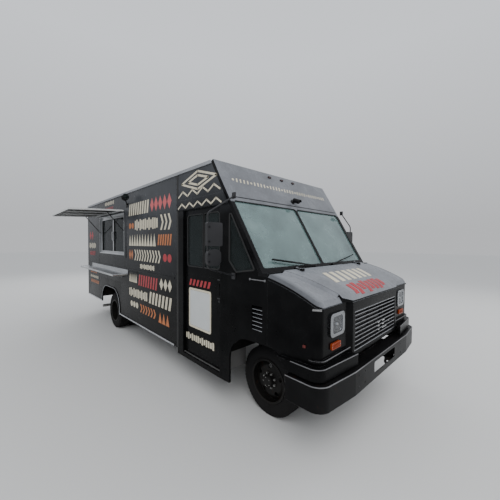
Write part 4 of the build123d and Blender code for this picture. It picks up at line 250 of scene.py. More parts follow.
def finish_look(name, colour, rough, metallic=0.0, coat=0.0, dust=0.0, dust_colour=(0.25, 0.23, 0.20),
                dust_height=1.0, grain=0.0, grain_scale=400.0, stretch=(1, 1, 1), blotch=0.12,
                edge=0.0, edge_wear_and_highlight_colour=(0.35, 0.34, 0.33), bevel=0.0, wave=0.0, specular=0.5, sheen=0.0,
                rust=0.0, top=0.0, top_colour=(0.250, 0.262, 0.285), top_from=None, high=None,
                shoulder_shade=None, zones=()):
    """A procedural finish: blotches, road dust that fades upward, edge wear with painted edge highlights,
    painted sky reflection and shade by height and by facing, grain and soft edges.
    """
    net = Net(name)
    large = net.noise(2.2, 5, 0.6)
    fine = net.noise(38.0, 6, 0.65, stretch)
    at = net.split(net.coord["Object"])
    darker = tuple(c * (1 - blotch) for c in colour)
    lighter = tuple(min(1.0, c * (1 + blotch) + 0.003) for c in colour)
    base = net.mix(net.span(large, *SOFT_NOISE), darker, lighter)
    base = net.mix(net.span(fine, 0.55, 0.75, 0.0, 0.35), base, lighter)
    roughness = net.span(large, *NOISE, max(0.02, rough - 0.05), rough + 0.07)
    if dust:
        height = net.span(at["Z"], 0.15, dust_height, 1.0, 0.0)
        film = net.times(height, net.span(fine, *NOISE, 0.35, 1.0), dust)
        base = net.mix(film, base, dust_colour)
        roughness = net.calculate("ADD", roughness, net.times(film, 0.5))
    if high:
        # Painted sky reflection: a pale bluish sheen that grows towards the roof
        start, end, share, sky_sheen_colour = high
        film = net.times(net.span(at["Z"], start, end, 0.0, share), net.span(large, *NOISE, 0.8, 1.1))
        base = net.mix(film, base, sky_sheen_colour)
    if top:
        # Colour by facing, laid where a face looks up: a pale painted sky reflection on paint and stainless,
        # a dark colour on the hatch
        facing = net.span(net.split(net.coord["Normal"])["Z"], 0.20, 0.45, 0.0, top)
        up_face_tint = net.times(facing, net.span(large, *NOISE, 0.72, 1.1), net.span(fine, *NOISE, 0.86, 1.06))
        if shoulder_shade:
            # Painted shade on rounded shoulders: less of it away from the middle
            middle, start, end, share = shoulder_shade
            aside = net.calculate("ABSOLUTE", net.calculate("SUBTRACT", at["X"], middle), 0.0)
            up_face_tint = net.times(up_face_tint, net.span(aside, start, end, 1.0, share))
        if top_from:
            up_face_tint = net.times(up_face_tint, net.span(at["Z"], top_from, top_from + 0.006))
        base = net.mix(up_face_tint, base, top_colour)
    for axis, start, zone_colour in zones:
        base = net.mix(net.span(at[axis], start, start + 0.002), base, zone_colour)
    normal = None
    if bevel:
        normal = net.add("Bevel", {"Radius": bevel}, samples=4).outputs[0]
        # Paler colour on rounded edges: partly wear, partly a painted highlight
        if edge:
            flat = net.add("NewGeometry", {}).outputs["Normal"]
            turn = net.add("VectorMath", {0: normal, 1: flat}, operation="DOT_PRODUCT").outputs["Value"]
            edge_wear_and_highlight = net.times(net.span(turn, 0.99, 0.86), net.span(fine, 0.42, 0.6, 0.0, edge))
            base = net.mix(edge_wear_and_highlight, base, edge_wear_and_highlight_colour)
    if rust:
        patch = net.span(net.noise(9.0, 8, 0.75), 0.58, 0.68, 0.0, rust)
        base = net.mix(patch, base, RUST)
        roughness = net.calculate("ADD", roughness, net.times(patch, 0.4))
    if wave:
        normal = net.bump(net.noise(1.6, 2, 0.4), wave, normal)
    if grain:
        normal = net.bump(net.noise(grain_scale, 3, 0.6, stretch), grain, normal)
    if normal is not None:
        net.feed(net.shader, {"Normal": normal})
    net.feed(net.shader, {"Base Color": base, "Roughness": roughness, "Metallic": metallic,
                          "Coat Weight": coat, "Coat Roughness": COAT_ROUGHNESS,
                          "Specular IOR Level": specular, "Sheen Weight": sheen})
    return net


def glass_look(name, tint, haze, haze_colour, clear, shine=1.55):
    """Thin pane: a clear tint, a pale diffuse haze that paints in a reflection of the sky along with some
    dust, and a gloss that grows at a slant.
    """
    net = Net(name)
    net.tree.nodes.remove(net.shader)
    through = net.add("BsdfTransparent", {"Color": tuple(c * clear for c in tint)})
    film = net.add("BsdfDiffuse", {"Color": haze_colour})
    amount = net.span(net.noise(3.0, 6, 0.6), *NOISE, haze * 0.7, haze * 1.3)
    pane = net.add("MixShader", {0: amount, 1: through, 2: film})
    gloss = net.add("BsdfGlossy", {"Roughness": 0.03, "Color": (0.95, 0.97, 1.0)})
    net.show(pane, gloss, net.add("Fresnel", {"IOR": shine}))
    return net


def lit_and_shaded_look(name, above, below):
    """Two finishes on one piece, split by whether a face looks down in the piece's own frame; the faces
    looking down get the darker one, a painted shade.
    """
    net = finish_look(name, **above)
    stain = net.noise(5.0, 5, 0.6)
    colour, rough = below["colour"], below["rough"]
    second = net.add("BsdfPrincipled", {
        "Base Color": net.mix(net.span(stain, *SOFT_NOISE), tuple(0.7 * c for c in colour), colour),
        "Roughness": net.span(stain, *NOISE, rough - 0.06, rough + 0.08),
        "Specular IOR Level": below["specular"]})
    net.show(net.shader, second, net.span(net.split(net.coord["Normal"])["Z"], -0.4, -0.6))
    return net


# Rounded edges of the paint get a paler colour, partly wear and partly a painted highlight
PAINT = dict(wave=0.004, bevel=0.006, edge=0.30, blotch=0.25)
CAB_PAINT = dict(PAINT, colour=(0.0024, 0.0025, 0.0028), rough=0.24, edge_wear_and_highlight_colour=grey(0.08), dust=0.05,
                 dust_colour=(0.040, 0.037, 0.033), specular=0.05)
HIGH_SKY_SHEEN = (0.066, 0.070, 0.077)
DECAL = dict(rough=0.42, blotch=0.10, grain=0.0001)
LOOKS = {
    "body_black": CAB_PAINT,
    # Painted sky reflection: the cab's paint pales towards the roof
    "cab_black": dict(CAB_PAINT, high=(2.28, 2.72, 0.85, HIGH_SKY_SHEEN)),
    # Painted sky reflection on faces looking up, with painted shade on the rounded shoulders
    "hood_black": dict(CAB_PAINT, rough=0.26, edge=0.35, edge_wear_and_highlight_colour=(0.12, 0.12, 0.125), top=0.88,
                       top_from=1.25, shoulder_shade=(0.2935, 1.060, 1.150, 0.45)),
    # Painted sky reflection on faces looking up above the header's foot, and paler rounded edges
    "header_black": dict(PAINT, colour=(0.0034, 0.0035, 0.0039), rough=0.26, specular=0.09,
                         edge_wear_and_highlight_colour=(0.10, 0.10, 0.105), top=0.74, top_from=2.424),
    # Painted sky reflection: the walls pale towards the roof, over road dust low down
    "wall_black": dict(CAB_PAINT, colour=(0.0030, 0.0031, 0.0035), dust=0.18, dust_height=1.3,
                       dust_colour=(0.040, 0.038, 0.033), specular=0.07,
                       high=(1.25, 2.60, 0.85, HIGH_SKY_SHEEN)),
    # Paler rounded edges on the bumper: painted highlights, with some wear
    "bumper_black": dict(colour=(0.0026, 0.0026, 0.0029), rough=0.34, dust=0.07, dust_height=0.9,
                         dust_colour=(0.045, 0.042, 0.038), bevel=0.006, edge=0.7,
                         edge_wear_and_highlight_colour=grey(0.20), wave=0.003, grain=0.0002, rust=0.10, specular=0.08),
    # Pale finish of the edge beads, a painted highlight; also the grab strips and the step tread
    "pale_wear_and_edge_highlight": dict(colour=(0.12, 0.12, 0.125), rough=0.36, dust=0.2, dust_height=0.9, blotch=0.35,
                      grain=0.0004, rust=0.15),
    "black_steel": dict(colour=grey(0.0070), rough=0.6, dust=0.28, dust_colour=(0.055, 0.049, 0.042),
                        dust_height=0.9, bevel=0.004, grain=0.0005, rust=0.35, specular=0.12),
    "engine_grey": dict(colour=grey(0.10), rough=0.6, dust=0.5, grain=0.001, rust=0.4, bevel=0.006),
    "roof_white": dict(colour=(0.27, 0.28, 0.30), rough=0.45, wave=0.003, bevel=0.004, blotch=0.10,
                       grain=0.0002, edge=0.3),
    "floor_grey": dict(colour=grey(0.22), rough=0.45, metallic=0.6, dust=0.4, grain=0.0006, bevel=0.003),
    "grille_dark": dict(colour=(0.010, 0.010, 0.011), rough=0.38, bevel=0.002, dust=0.2,
                        dust_height=1.3, dust_colour=(0.07, 0.065, 0.06), specular=0.3),
    "grille_edge": dict(colour=(0.34, 0.35, 0.37), rough=0.30, metallic=0.9, blotch=0.2, grain=0.0003),
    "amber": dict(colour=(0.26, 0.036, 0.006), rough=0.34, specular=0.25, bevel=0.004, blotch=0.10,
                  grain=0.0006, grain_scale=160.0,
                  zones=(("Y", -3.60, (0.10, 0.020, 0.018)), ("Z", 2.40, (0.024, 0.008, 0.007)))),
    "red_lens": dict(colour=(0.42, 0.012, 0.012), rough=0.18, coat=0.6, bevel=0.004, blotch=0.1,
                     grain=0.0006, grain_scale=160.0),
    # Painted highlight: paler faces looking up and paler rounded edges
    "stainless": dict(colour=(0.52, 0.53, 0.54), rough=0.33, metallic=1.0, bevel=0.003, grain=0.00025,
                      grain_scale=60.0, stretch=(30, 1, 30), edge=0.3, edge_wear_and_highlight_colour=grey(0.75),
                      top=0.9, top_colour=(0.80, 0.82, 0.84)),
    "zinc_steel": dict(colour=(0.38, 0.38, 0.37), rough=0.42, metallic=0.9, bevel=0.002, grain=0.0003,
                       rust=0.25, dust=0.3),
    "wheel_black": dict(colour=grey(0.0045), rough=0.42, dust=0.16, dust_colour=(0.050, 0.043, 0.036),
                        dust_height=0.85, bevel=0.003, edge=0.5, edge_wear_and_highlight_colour=(0.09, 0.07, 0.055),
                        rust=0.15, grain=0.0003, specular=0.14),
    "tyre_rubber": dict(colour=(0.0065, 0.0065, 0.0070), rough=0.74, dust=0.18, dust_height=0.8,
                        dust_colour=(0.050, 0.045, 0.040), grain=0.0006, grain_scale=220.0,
                        specular=0.12),
    "black_plastic": dict(colour=(0.0060, 0.0060, 0.0064), rough=0.42, grain=0.0004, bevel=0.003,
                          grain_scale=500.0, dust=0.06, dust_colour=(0.05, 0.05, 0.045), specular=0.15),
    "rubber_seal": dict(colour=grey(0.010), rough=0.62, grain=0.0003, blotch=0.3),
    "seat_vinyl": dict(colour=(0.025, 0.025, 0.027), rough=0.48, grain=0.0006, grain_scale=300.0,
                       bevel=0.02, sheen=0.2),
    # The serving hatch is coloured by which way each face looks: pale edges, dark faces looking up, and a
    # painted shade on faces looking down
    "hatch_edge": dict(colour=(0.66, 0.67, 0.67), rough=0.35, metallic=0.35, bevel=0.003, grain=0.0002,
                       top=1.6, top_colour=(0.012, 0.0125, 0.0135)),
    "hatch_shaded_under": dict(colour=(0.012, 0.011, 0.011), rough=0.50, bevel=0.003, grain=0.0002,
                        specular=0.08),
    "plate_white": dict(colour=(0.52, 0.54, 0.54), rough=0.38, blotch=0.06, dust=0.15, dust_height=1.5),
    "decal_cream": dict(DECAL, colour=(0.60, 0.55, 0.42), blotch=0.08),
    "decal_orange": dict(DECAL, colour=(0.46, 0.14, 0.035)),
    "decal_red": dict(DECAL, colour=(0.34, 0.016, 0.024)),
    "decal_rose": dict(DECAL, colour=(0.50, 0.085, 0.090)),
    "reflector": dict(colour=(0.42, 0.43, 0.43), rough=0.40, metallic=0.7, blotch=0.10),
    "bezel_chrome": dict(colour=(0.27, 0.28, 0.295), rough=0.20, metallic=1.0, bevel=0.003, blotch=0.20,
                         wave=0.003, dust=0.2, dust_height=1.4, dust_colour=(0.16, 0.16, 0.15)),
    "mirror_shell": dict(colour=(0.020, 0.020, 0.022), rough=0.36, grain=0.0003, grain_scale=500.0,
                         bevel=0.004, specular=0.3),
    "mirror_face": dict(colour=(0.78, 0.80, 0.82), rough=0.03, metallic=1.0, blotch=0.02),
    "rub_bright": dict(colour=(0.56, 0.57, 0.60), rough=0.32, metallic=0.75, blotch=0.15, grain=0.0003,
                       dust=0.25),
    "latch_steel": dict(colour=grey(0.22), rough=0.42, metallic=0.5, blotch=0.45, grain=0.0004, rust=0.2),
    # Pale finish of the arch beads, a painted highlight; also the joint screws
    "arch_edge": dict(colour=(0.36, 0.37, 0.39), rough=0.30, specular=0.6, blotch=0.2, grain=0.0003),
}
NETS = {name: finish_look(name, **values) for name, values in LOOKS.items()}
# Each pane's diffuse haze is partly a painted reflection of the sky
NETS["glass_green"] = glass_look("glass_green", (0.68, 0.90, 0.86), 0.36, (0.31, 0.46, 0.45), 0.80)
NETS["glass_dark"] = glass_look("glass_dark", (0.34, 0.42, 0.41), 0.20, (0.070, 0.086, 0.086), 0.6, 1.13)
NETS["lamp_glass"] = glass_look("lamp_glass", (0.95, 0.97, 1.0), 0.05, (0.6, 0.62, 0.65), 0.95)
NETS["hatch_faces"] = lit_and_shaded_look("hatch_faces", LOOKS["hatch_edge"], LOOKS["hatch_shaded_under"])
NODE_LOOKS = {
    "body_black": ("arch_panels", "rear_frame"),
    "cab_black": ("cab_sides", "cab_door_left", "cab_door_right"),
    "wall_black": ("kerb_wall", "driver_wall", "rear_door_left", "rear_door_right"),
    "hood_black": ("nose", "hood"),
    "header_black": ("cab_front",),
    "black_steel": ("chassis_frame", "fuel_tank", "springs", "front_axle", "rear_axle", "wheel_housings",
                    "knuckle_left", "knuckle_right"),
    "engine_grey": ("engine",),
    "zinc_steel": ("exhaust",),
    "bumper_black": ("front_bumper", "rear_bumper"),
    "roof_white": ("roof",),
    "floor_grey": ("floor", "firewall", "step_wells"),
    "glass_green": ("windscreen",),
    "glass_dark": ("side_glass", "door_glass_left", "door_glass_right"),
    "bezel_chrome": ("lamp_bezels",),
    "grille_dark": ("grille",),
    "amber": ("amber_lamps",),
    "red_lens": ("tail_lamps",),
    "stainless": ("serving_window", "shelf", "counter"),
    "hatch_faces": ("serving_hatch",),
    "mirror_shell": ("mirrors",),
    "black_plastic": ("wipers", "dashboard", "flood_lamp", "hatch_stays"),
    "seat_vinyl": ("driver_seat",),
    "wheel_black": ("wheel_front_left", "wheel_front_right", "wheel_rear_left", "wheel_rear_right"),
    "tyre_rubber": ("tyre_front_left", "tyre_front_right", "tyre_rear_left", "tyre_rear_right"),
    "lamp_glass": ("headlamps",),
}


def dress_nodes():
    for look, names in NODE_LOOKS.items():
        for name in names:
            mesh = frame["nodes"][name].data
            mesh.materials.clear()
            mesh.materials.append(NETS[look].material)


# Building pieces

def hang(name, data, look, body):
    """Give a piece that is already in place its finish, and hang it on its body."""
    piece = link(name, data)
    data.materials.append(NETS[look].material)
    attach(piece, body)
    return piece


def add_piece(name, form, look, body="truck", smooth=True):
    """Piece from a finished form."""
    bmesh.ops.recalc_face_normals(form, faces=form.faces)
    mesh = bpy.data.meshes.new(name)
    form.to_mesh(mesh)
    form.free()
    if smooth:
        mesh.shade_smooth()
        mesh.set_sharp_from_angle(angle=SHARP_ANGLE)
    return hang(name, mesh, look, body)


def add_bead(name, lines, radius, look, body="truck", closed=True):
    """Piece that is a round bead along one or more lines of points."""
    data = bpy.data.curves.new(name, "CURVE")
    data.dimensions = "3D"
    data.bevel_depth = radius
    data.bevel_resolution = 2
    for line in lines:
        spline = data.splines.new("POLY")
        spline.points.add(len(line) - 1)
        for point, at in zip(spline.points, line):
            point.co = (*at, 1)
        spline.use_cyclic_u = closed
    return hang(name, data, look, body)


def arc(radius, start, end, steps):
    """Points round the middle from one angle to another, in degrees, as (across, up)."""
    angles = [math.radians(start + (end - start) * k / steps) for k in range(steps + 1)]
    return [(radius * math.cos(a), radius * math.sin(a)) for a in angles]


def circle(radius, count, start=0):
    return arc(radius, start, start + 360, count)[:-1]


def frame_loop(width, height, radius, steps=6):
    """Rounded rectangle about the middle, as (across, up)."""
    points = []
    for right, top, start in ((1, 1, 0), (-1, 1, 90), (-1, -1, 180), (1, -1, 270)):
        middle = (right * (width / 2 - radius), top * (height / 2 - radius))
        points.extend((middle[0] + u, middle[1] + v) for u, v in arc(radius, start, start + 90, steps))
    return points


def upright(middle, outline, wide=1.0, tall=1.0, y=0.0):
    """An outline stood across the truck, scaled about a point."""
    return [middle + Vector((u * wide, y, v * tall)) for u, v in outline]


def pitched(start, end, pitch):
    """Evenly spaced values from start, all below end."""
    return [start + pitch * k for k in range(math.ceil((end - start) / pitch))]


def add_solid(form, points, depth):
    """Prism from a closed outline of 3-D points, pushed along the depth vector."""
    low = [form.verts.new(p) for p in points]
    high = [form.verts.new(p + depth) for p in points]
    form.faces.new(low)
    form.faces.new(list(reversed(high)))
    for i in range(len(points)):
        j = (i + 1) % len(points)
        form.faces.new((low[i], high[i], high[j], low[j]))


def add_box(form, low, high):
    """Box between two corners given as on the truck."""
    x0, x1 = sorted((low[0], high[0]))
    outline = [place(x, low[1], z) for x, z in ((x0, low[2]), (x1, low[2]), (x1, high[2]), (x0, high[2]))]
    add_solid(form, outline, Vector((0, high[1] - low[1], 0)))


def join_rings(form, rings):
    """Faces between rings of as many points, one after the other."""
    for low, high in zip(rings, rings[1:]):
        for k in range(len(low)):
            j = (k + 1) % len(low)
            form.faces.new((low[k], low[j], high[j], high[k]))


def add_ring(form, outer, inner, depth):
    """Closed ring between two outlines of as many points, pushed along depth."""
    lines = [outer, inner, [p + depth for p in inner], [p + depth for p in outer]]
    rings = [[form.verts.new(p) for p in line] for line in lines]
    join_rings(form, rings + rings[:1])


def add_dome(form, centre, normal, radius, rise):
    """Low rivet head."""
    turn = UP.rotation_difference(normal)
    rings = []
    for wide, high in arc(1.0, 0, 90, 3)[:-1]:
        ring = [Vector((x, y, rise * high)) for x, y in circle(radius * wide, 10)]
        rings.append([form.verts.new(centre + turn @ at) for at in ring])
    peak = form.verts.new(centre + turn @ Vector((0, 0, rise)))
    join_rings(form, rings)
    for first, second in zip(rings[-1], rings[-1][1:] + rings[-1][:1]):
        form.faces.new((first, second, peak))
    form.faces.new(list(reversed(rings[0])))


def add_tube(form, start, end, radius, segments, end_radius=None):
    """Plain or tapered bar between two points of the row frame."""
    way = end - start
    turn = UP.rotation_difference(way.normalized()).to_matrix().to_4x4()
    bmesh.ops.create_cone(form, cap_ends=True, segments=segments, radius1=radius,
                          radius2=end_radius or radius, depth=way.length,
                          matrix=Matrix.Translation((start + end) / 2) @ turn)


def add_hex(form, foot, normal, radius, height):
    """Nut or bolt head standing on a face."""
    add_tube(form, foot, foot + normal * height, radius, 6, radius * 0.92)


class Plane:
    """A flat place on the truck: origin, across and up directions, and the way out."""

    def __init__(self, origin, across, up):
        self.origin = Vector(origin)
        self.across = Vector(across).normalized()
        self.up = Vector(up).normalized()
        self.out = self.across.cross(self.up)

    def point(self, u, v, lift=0.0):
        return ORIGIN + self.origin + self.across * u + self.up * v + self.out * lift


# On each, u runs as a person facing the panel reads it, left to right
KERB = Plane((-HALF_WIDTH, 0, 0), FORWARD, UP)
DOOR = Plane((-DOOR_FACE, 0, 0), FORWARD, UP)
BAND = Plane((-1.236, 0, 0), FORWARD, UP)
SCREEN = Plane(SCREEN_FOOT, (1, 0, 0), (0, math.sin(SCREEN_LEAN), math.cos(SCREEN_LEAN)))


def face_loops(node, normal, reach=0.02):
    """Outlines of a CAD node's faces that look along a direction, as lists of points."""
    want = Vector(normal).normalized()
    form = bmesh.new()
    form.from_mesh(frame["nodes"][node].data)
    bmesh.ops.remove_doubles(form, verts=form.verts, dist=1e-5)
    form.normal_update()
    away = [f for f in form.faces if f.normal.dot(want) < 1 - reach]
    bmesh.ops.delete(form, geom=away, context="FACES")
    rim = [e for e in form.edges if len(e.link_faces) == 1]
    loops = []
    while rim:
        start, at = rim.pop().verts
        loop = [start.co.copy(), at.co.copy()]
        while at != start:
            edge = next((e for e in at.link_edges if e in rim), None)
            if edge is None:
                break
            rim.remove(edge)
            at = edge.other_vert(at)
            if at != start:
                loop.append(at.co.copy())
        if len(loop) > 2:
            loops.append(loop)
    form.free()
    return loops


# Height from which the hood's surface is felt for, straight down
ABOVE = 2.5


def surface_of(node):
    """Search tree of a CAD node's surface."""
    source = bmesh.new()
    source.from_mesh(frame["nodes"][node].data)
    tree = BVHTree.FromBMesh(source)
    source.free()
    return tree


# Wheels

TYRE_RADIUS = 0.392
TYRE_WIDTH = 0.222
RIM_RADIUS = 0.247
TREAD_BLOCKS = 60
BLOCK_STEPS = 4
GROOVE_DEPTH = 0.010
GROOVE_SLOPE = 0.0012
# First and last place across of each groove
GROOVES = ((0.060, 0.052), (0.020, 0.012), (-0.012, -0.020), (-0.052, -0.060))
SIPE_DEPTH = 0.006
# How many of a block's steps are cut by a sipe
SIPE_STEPS = {"shoulder": 2, "tread": 1}
# Points of the side wall: how far in from its widest place and out from the rim
SIDE_WALL = ((0.016, -0.010), (0.012, 0.004), (0.008, 0.010), (0.009, 0.016), (0.004, 0.034),
             (0.001, 0.056), (0.0005, 0.070), (0.0, 0.074), (0.0005, 0.078), (0.002, 0.092), (0.005, 0.108))
# Points of the shoulder: how far in from the side and down from the tread
SHOULDER = ((0.009, 0.026, "shoulder"), (0.013, 0.012, "shoulder"), (0.020, 0.002, "tread"))
WHEEL_NUTS = 8
NUT_CIRCLE = 0.082
CAP_BOLTS = 5
CAP_CIRCLE = 0.048
# Radius and height of each
NUT = (0.0135, 0.020)
STUD = (0.008, 0.008)
CAP_BOLT = (0.006, 0.005)
# Name, places across of the tyres, faces of wheel and hub cap, and y of each axle
AXLES = (("front", (0.785,), 0.847, 0.905, 0), ("rear", (0.738, 1.018), 0.887, 0.995, WHEELBASE))


def tyre_profile():
    """Section from one bead over the tread to the other bead, as (across, radius, kind)."""
    half = TYRE_WIDTH / 2
    side = [(half - inset, RIM_RADIUS + rise, "side") for inset, rise in SIDE_WALL]
    side += [(half - inset, TYRE_RADIUS - drop, kind) for inset, drop, kind in SHOULDER]
    crown = []
    foot = TYRE_RADIUS - GROOVE_DEPTH
    for start, end in GROOVES:
        crown += [(start, TYRE_RADIUS, "tread"), (start - GROOVE_SLOPE, foot, "groove"),
                  (end + GROOVE_SLOPE, foot, "groove"), (end, TYRE_RADIUS, "tread")]
    return side + crown + [(-across, radius, kind) for across, radius, kind in reversed(side)]


def add_tyre(form, centre):
    """Tyre with ribs, sipes across the ribs and blocks on the shoulders."""
    rings = []
    for step, (level, high) in enumerate(circle(1.0, TREAD_BLOCKS * BLOCK_STEPS)):
        ring = []
        for across, radius, kind in tyre_profile():
            if step % BLOCK_STEPS < SIPE_STEPS.get(kind, 0):
                radius -= SIPE_DEPTH
            ring.append(form.verts.new(centre + Vector((across, radius * level, radius * high))))
        rings.append(ring)
    join_rings(form, rings + rings[:1])


def make_tyres():
    for sign, side in SIDES:
        for end, across, _, _, y in AXLES:
            form = bmesh.new()
            for x in across:
                add_tyre(form, place(sign * x, y, TYRE_RADIUS))
            body = f"{end}_wheel_body_{side}"
            piece = add_piece(f"tread_{end}_{side}", form, "tyre_rubber", body)
            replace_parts(piece, f"tyre_{end}_{side}")


def make_wheel_nuts():
    """Wheel nuts with their studs, and the bolts of each hub cap."""
    for sign, side in SIDES:
        out = outward(sign)
        for end, _, face, cap, y in AXLES:
            form = bmesh.new()
            for behind, up in circle(NUT_CIRCLE, WHEEL_NUTS, 180 / WHEEL_NUTS):
                at = place(sign * face, y + behind, TYRE_RADIUS + up)
                add_hex(form, at, out, *NUT)
                add_hex(form, at + out * NUT[1], out, *STUD)
            for behind, up in circle(CAP_CIRCLE, CAP_BOLTS):
                add_hex(form, place(sign * cap, y + behind, TYRE_RADIUS + up), out, *CAP_BOLT)
            body = f"{end}_wheel_body_{side}"
            add_piece(f"nuts_{end}_{side}", form, "zinc_steel", body, smooth=False)


# Seals, rivets and trim

def make_seals():
    """Rubber beads round every pane."""
    loops = [[p + SCREEN.out * 0.012 for p in loop] for loop in face_loops("windscreen", SCREEN.out)]
    add_bead("seal_windscreen", loops, 0.007, "rubber_seal")
    panes = []
    for sign, side in SIDES:
        out = outward(sign)
        loops = [[p + out * 0.006 for p in loop] for loop in face_loops("door_glass_" + side, out)]
        add_bead("seal_door_" + side, loops, 0.010, "rubber_seal", "cab_door_body_" + side)
        for loop in face_loops("side_glass", (sign, -0.05, 0), 0.01):
            middle = sum(p.x for p in loop) / len(loop)
            if (middle - ORIGIN.x) * sign > 0:
                panes.append([p + out * 0.007 for p in loop])
    add_bead("seal_side_glass", panes, 0.010, "rubber_seal")


RIVET_ROWS = (1.480, 2.700, 3.420, 5.480, 6.400)
ROW_PITCH = 0.075
RAIL_PITCH = 0.085
RAIL_RIVETS = 2.895
BELT_RIVETS = 1.405
# Radius and rise of the heads on the walls, on roof and shelf, and on rub strips and door feet
WALL_RIVET = (0.0055, 0.0025)
ROOF_RIVET = (0.006, 0.0025)
STRIP_RIVET = (0.006, 0.003)


def make_rivets():
    """Lines of rivets along the walls' frames and the roof rail."""
    form = bmesh.new()
    for sign in (-1, 1):
        spots = []
        for y in RIVET_ROWS:
            for z in pitched(0.62, 2.88, ROW_PITCH):
                window = sign < 0 and 3.45 < y < 5.5 and 1.62 < z < 2.62
                wheel = abs(y - WHEELBASE) < 0.70 and z < 1.0
                belt = 1.42 < z < 1.47
                if not (window or wheel or belt):
                    spots.append((y, z))
        for y in pitched(1.50, 6.42, RAIL_PITCH):
            spots.append((y, RAIL_RIVETS))
            shelf = sign < 0 and 3.40 < y < 6.10
            if not shelf:
                spots.append((y, BELT_RIVETS))
        for y, z in spots:
            add_dome(form, place(sign * HALF_WIDTH, y, z), outward(sign), *WALL_RIVET)
    add_piece("rivets", form, "body_black")


def rounded_corner(before, corner, after, radius, steps=8):
    """Points of an arc that rounds a corner between two straight runs, in plan."""
    corner = Vector(corner)
    a = (Vector(before) - corner).normalized()
    b = (Vector(after) - corner).normalized()
    half = a.angle(b) / 2
    centre = corner + (a + b).normalized() * (radius / math.sin(half))
    start = corner + a * (radius / math.tan(half)) - centre
    end = corner + b * (radius / math.tan(half)) - centre
    return [centre + start.lerp(end, i / steps).normalized() * radius for i in range(steps + 1)]


def wrap_line(side, flat, front, sweep, wide, tail, corner):
    """Half of a wrap-round outline from above: from its flat front to its tail on one side."""
    points = [Vector((flat, front))]
    points.extend(rounded_corner((flat, front), (wide, sweep), (wide, tail), corner))
    points.append(Vector((wide, tail)))
    return [(side * p.x, p.y) for p in points]


# Outline from above, height and radius of each pale bead along a top edge, a painted highlight
EDGES = {
    "edge_bumper": ((0.735, -0.950, -0.898, 1.246, -0.532, 0.128), 0.7795, 0.0050),
    "edge_valance": ((0.613, -0.914, -0.862, 1.214, -0.566, 0.104), 0.9045, 0.0045),
    "edge_ledge": ((0.613, -0.846, -0.846, 1.1765, -0.732, 0.096), 0.9565, 0.0045),
}


def make_edges():
    """Pale beads along the top edges of the bumper, the valance and the ledge over it: painted highlights.
    """
    for name, (line, z, radius) in EDGES.items():
        loops = [[place(x, y + 0.002, z) for x, y in wrap_line(side, *line)] for side in (-1, 1)]
        if name == "edge_bumper":
            loops = [list(reversed(loops[0])) + loops[1]]
        add_bead(name, loops, radius, "pale_wear_and_edge_highlight", closed=False)


GRILLE_FIRST = 0.9033
GRILLE_PITCH = 0.04316
GRILLE_FACE = (-0.8562, -0.8538)


def make_grille_edges():
    """Bright metal strips on the front edges of the grille's bars and its frame, partly a painted highlight
    where those edges catch the light.
    """
    form = bmesh.new()
    strips = []
    for number in range(1, 9):
        z = GRILLE_FIRST + number * GRILLE_PITCH
        strips.append((0.556, z + 0.0008, z + 0.0066))
    strips += [(0.571, 1.2842, 1.2915), (0.571, 0.8990, 0.9080)]
    for half, low, high in strips:
        add_box(form, (-half, GRILLE_FACE[0], low), (half, GRILLE_FACE[1], high))
    add_piece("grille_edges", form, "grille_edge", smooth=False)


ARCH_HALF = 0.640
ARCH_TOP = 0.950
ARCH_RADIUS = 0.400
# First and last y and foot of the skirt's rub strips, before and behind the rear wheel
STRIPS = ((1.545, 3.902, 0.447), (5.198, 6.395, 0.532))
STRIP_FACE = 1.2306


def make_rails():
    """Bright rub strips along the skirts, and pale beads round the rear arches that paint the highlight on
    their lips.
    """
    form = bmesh.new()
    loops = []
    inset, spring = ARCH_HALF - ARCH_RADIUS, ARCH_TOP - ARCH_RADIUS
    quarter = [(inset + y, spring + z) for y, z in arc(ARCH_RADIUS, 0, 90, 12)]
    arch = [(ARCH_HALF, STRIPS[1][2])] + quarter
    arch += [(-y, z) for y, z in reversed(quarter)] + [(-ARCH_HALF, STRIPS[0][2])]
    for sign in (-1, 1):
        for y0, y1, z in STRIPS:
            add_box(form, (sign * 1.2288, y0, z), (sign * STRIP_FACE, y1, z + 0.026))
            for number in range(int((y1 - y0) / 0.20)):
                at = place(sign * STRIP_FACE, y0 + 0.08 + number * 0.20, z + 0.013)
                add_dome(form, at, outward(sign), *STRIP_RIVET)
        loops.append([place(sign * 1.2285, WHEELBASE + y, z) for y, z in arch])
    add_piece("rub_strips", form, "rub_bright")
    # Pale beads round the arches: a painted highlight on their lips
    add_bead("edge_arches", loops, 0.0050, "arch_edge", closed=False)


# Lamps

LAMP_X = 0.868
LAMP_Z = 1.230
AMBER_X = 0.890
AMBER_Z = 1.040
AMBER_HALF = 0.059
AMBER_RIBS = 15
LENS_FACE = -0.838
GLASS_Y = -0.0035


def add_bowl(form, centre, width, height, depth, steps=10):
    """Lamp reflector: a dished rectangle that opens towards the front."""
    rings = []
    for i in range(steps + 1):
        t = i / steps
        # The rim is squarer than the bottom
        power = 1.0 - 0.55 * min(1.0, t / 0.8)
        ring = []
        for pair in circle(1.0, 32):
            u, v = (math.copysign(abs(part) ** power, part) * math.sqrt(t) for part in pair)
            ring.append(form.verts.new(centre + Vector((u * width / 2, depth * (1 - t), v * height / 2))))
        rings.append(ring)
    join_rings(form, rings)
    bmesh.ops.remove_doubles(form, verts=rings[0], dist=1e-4)


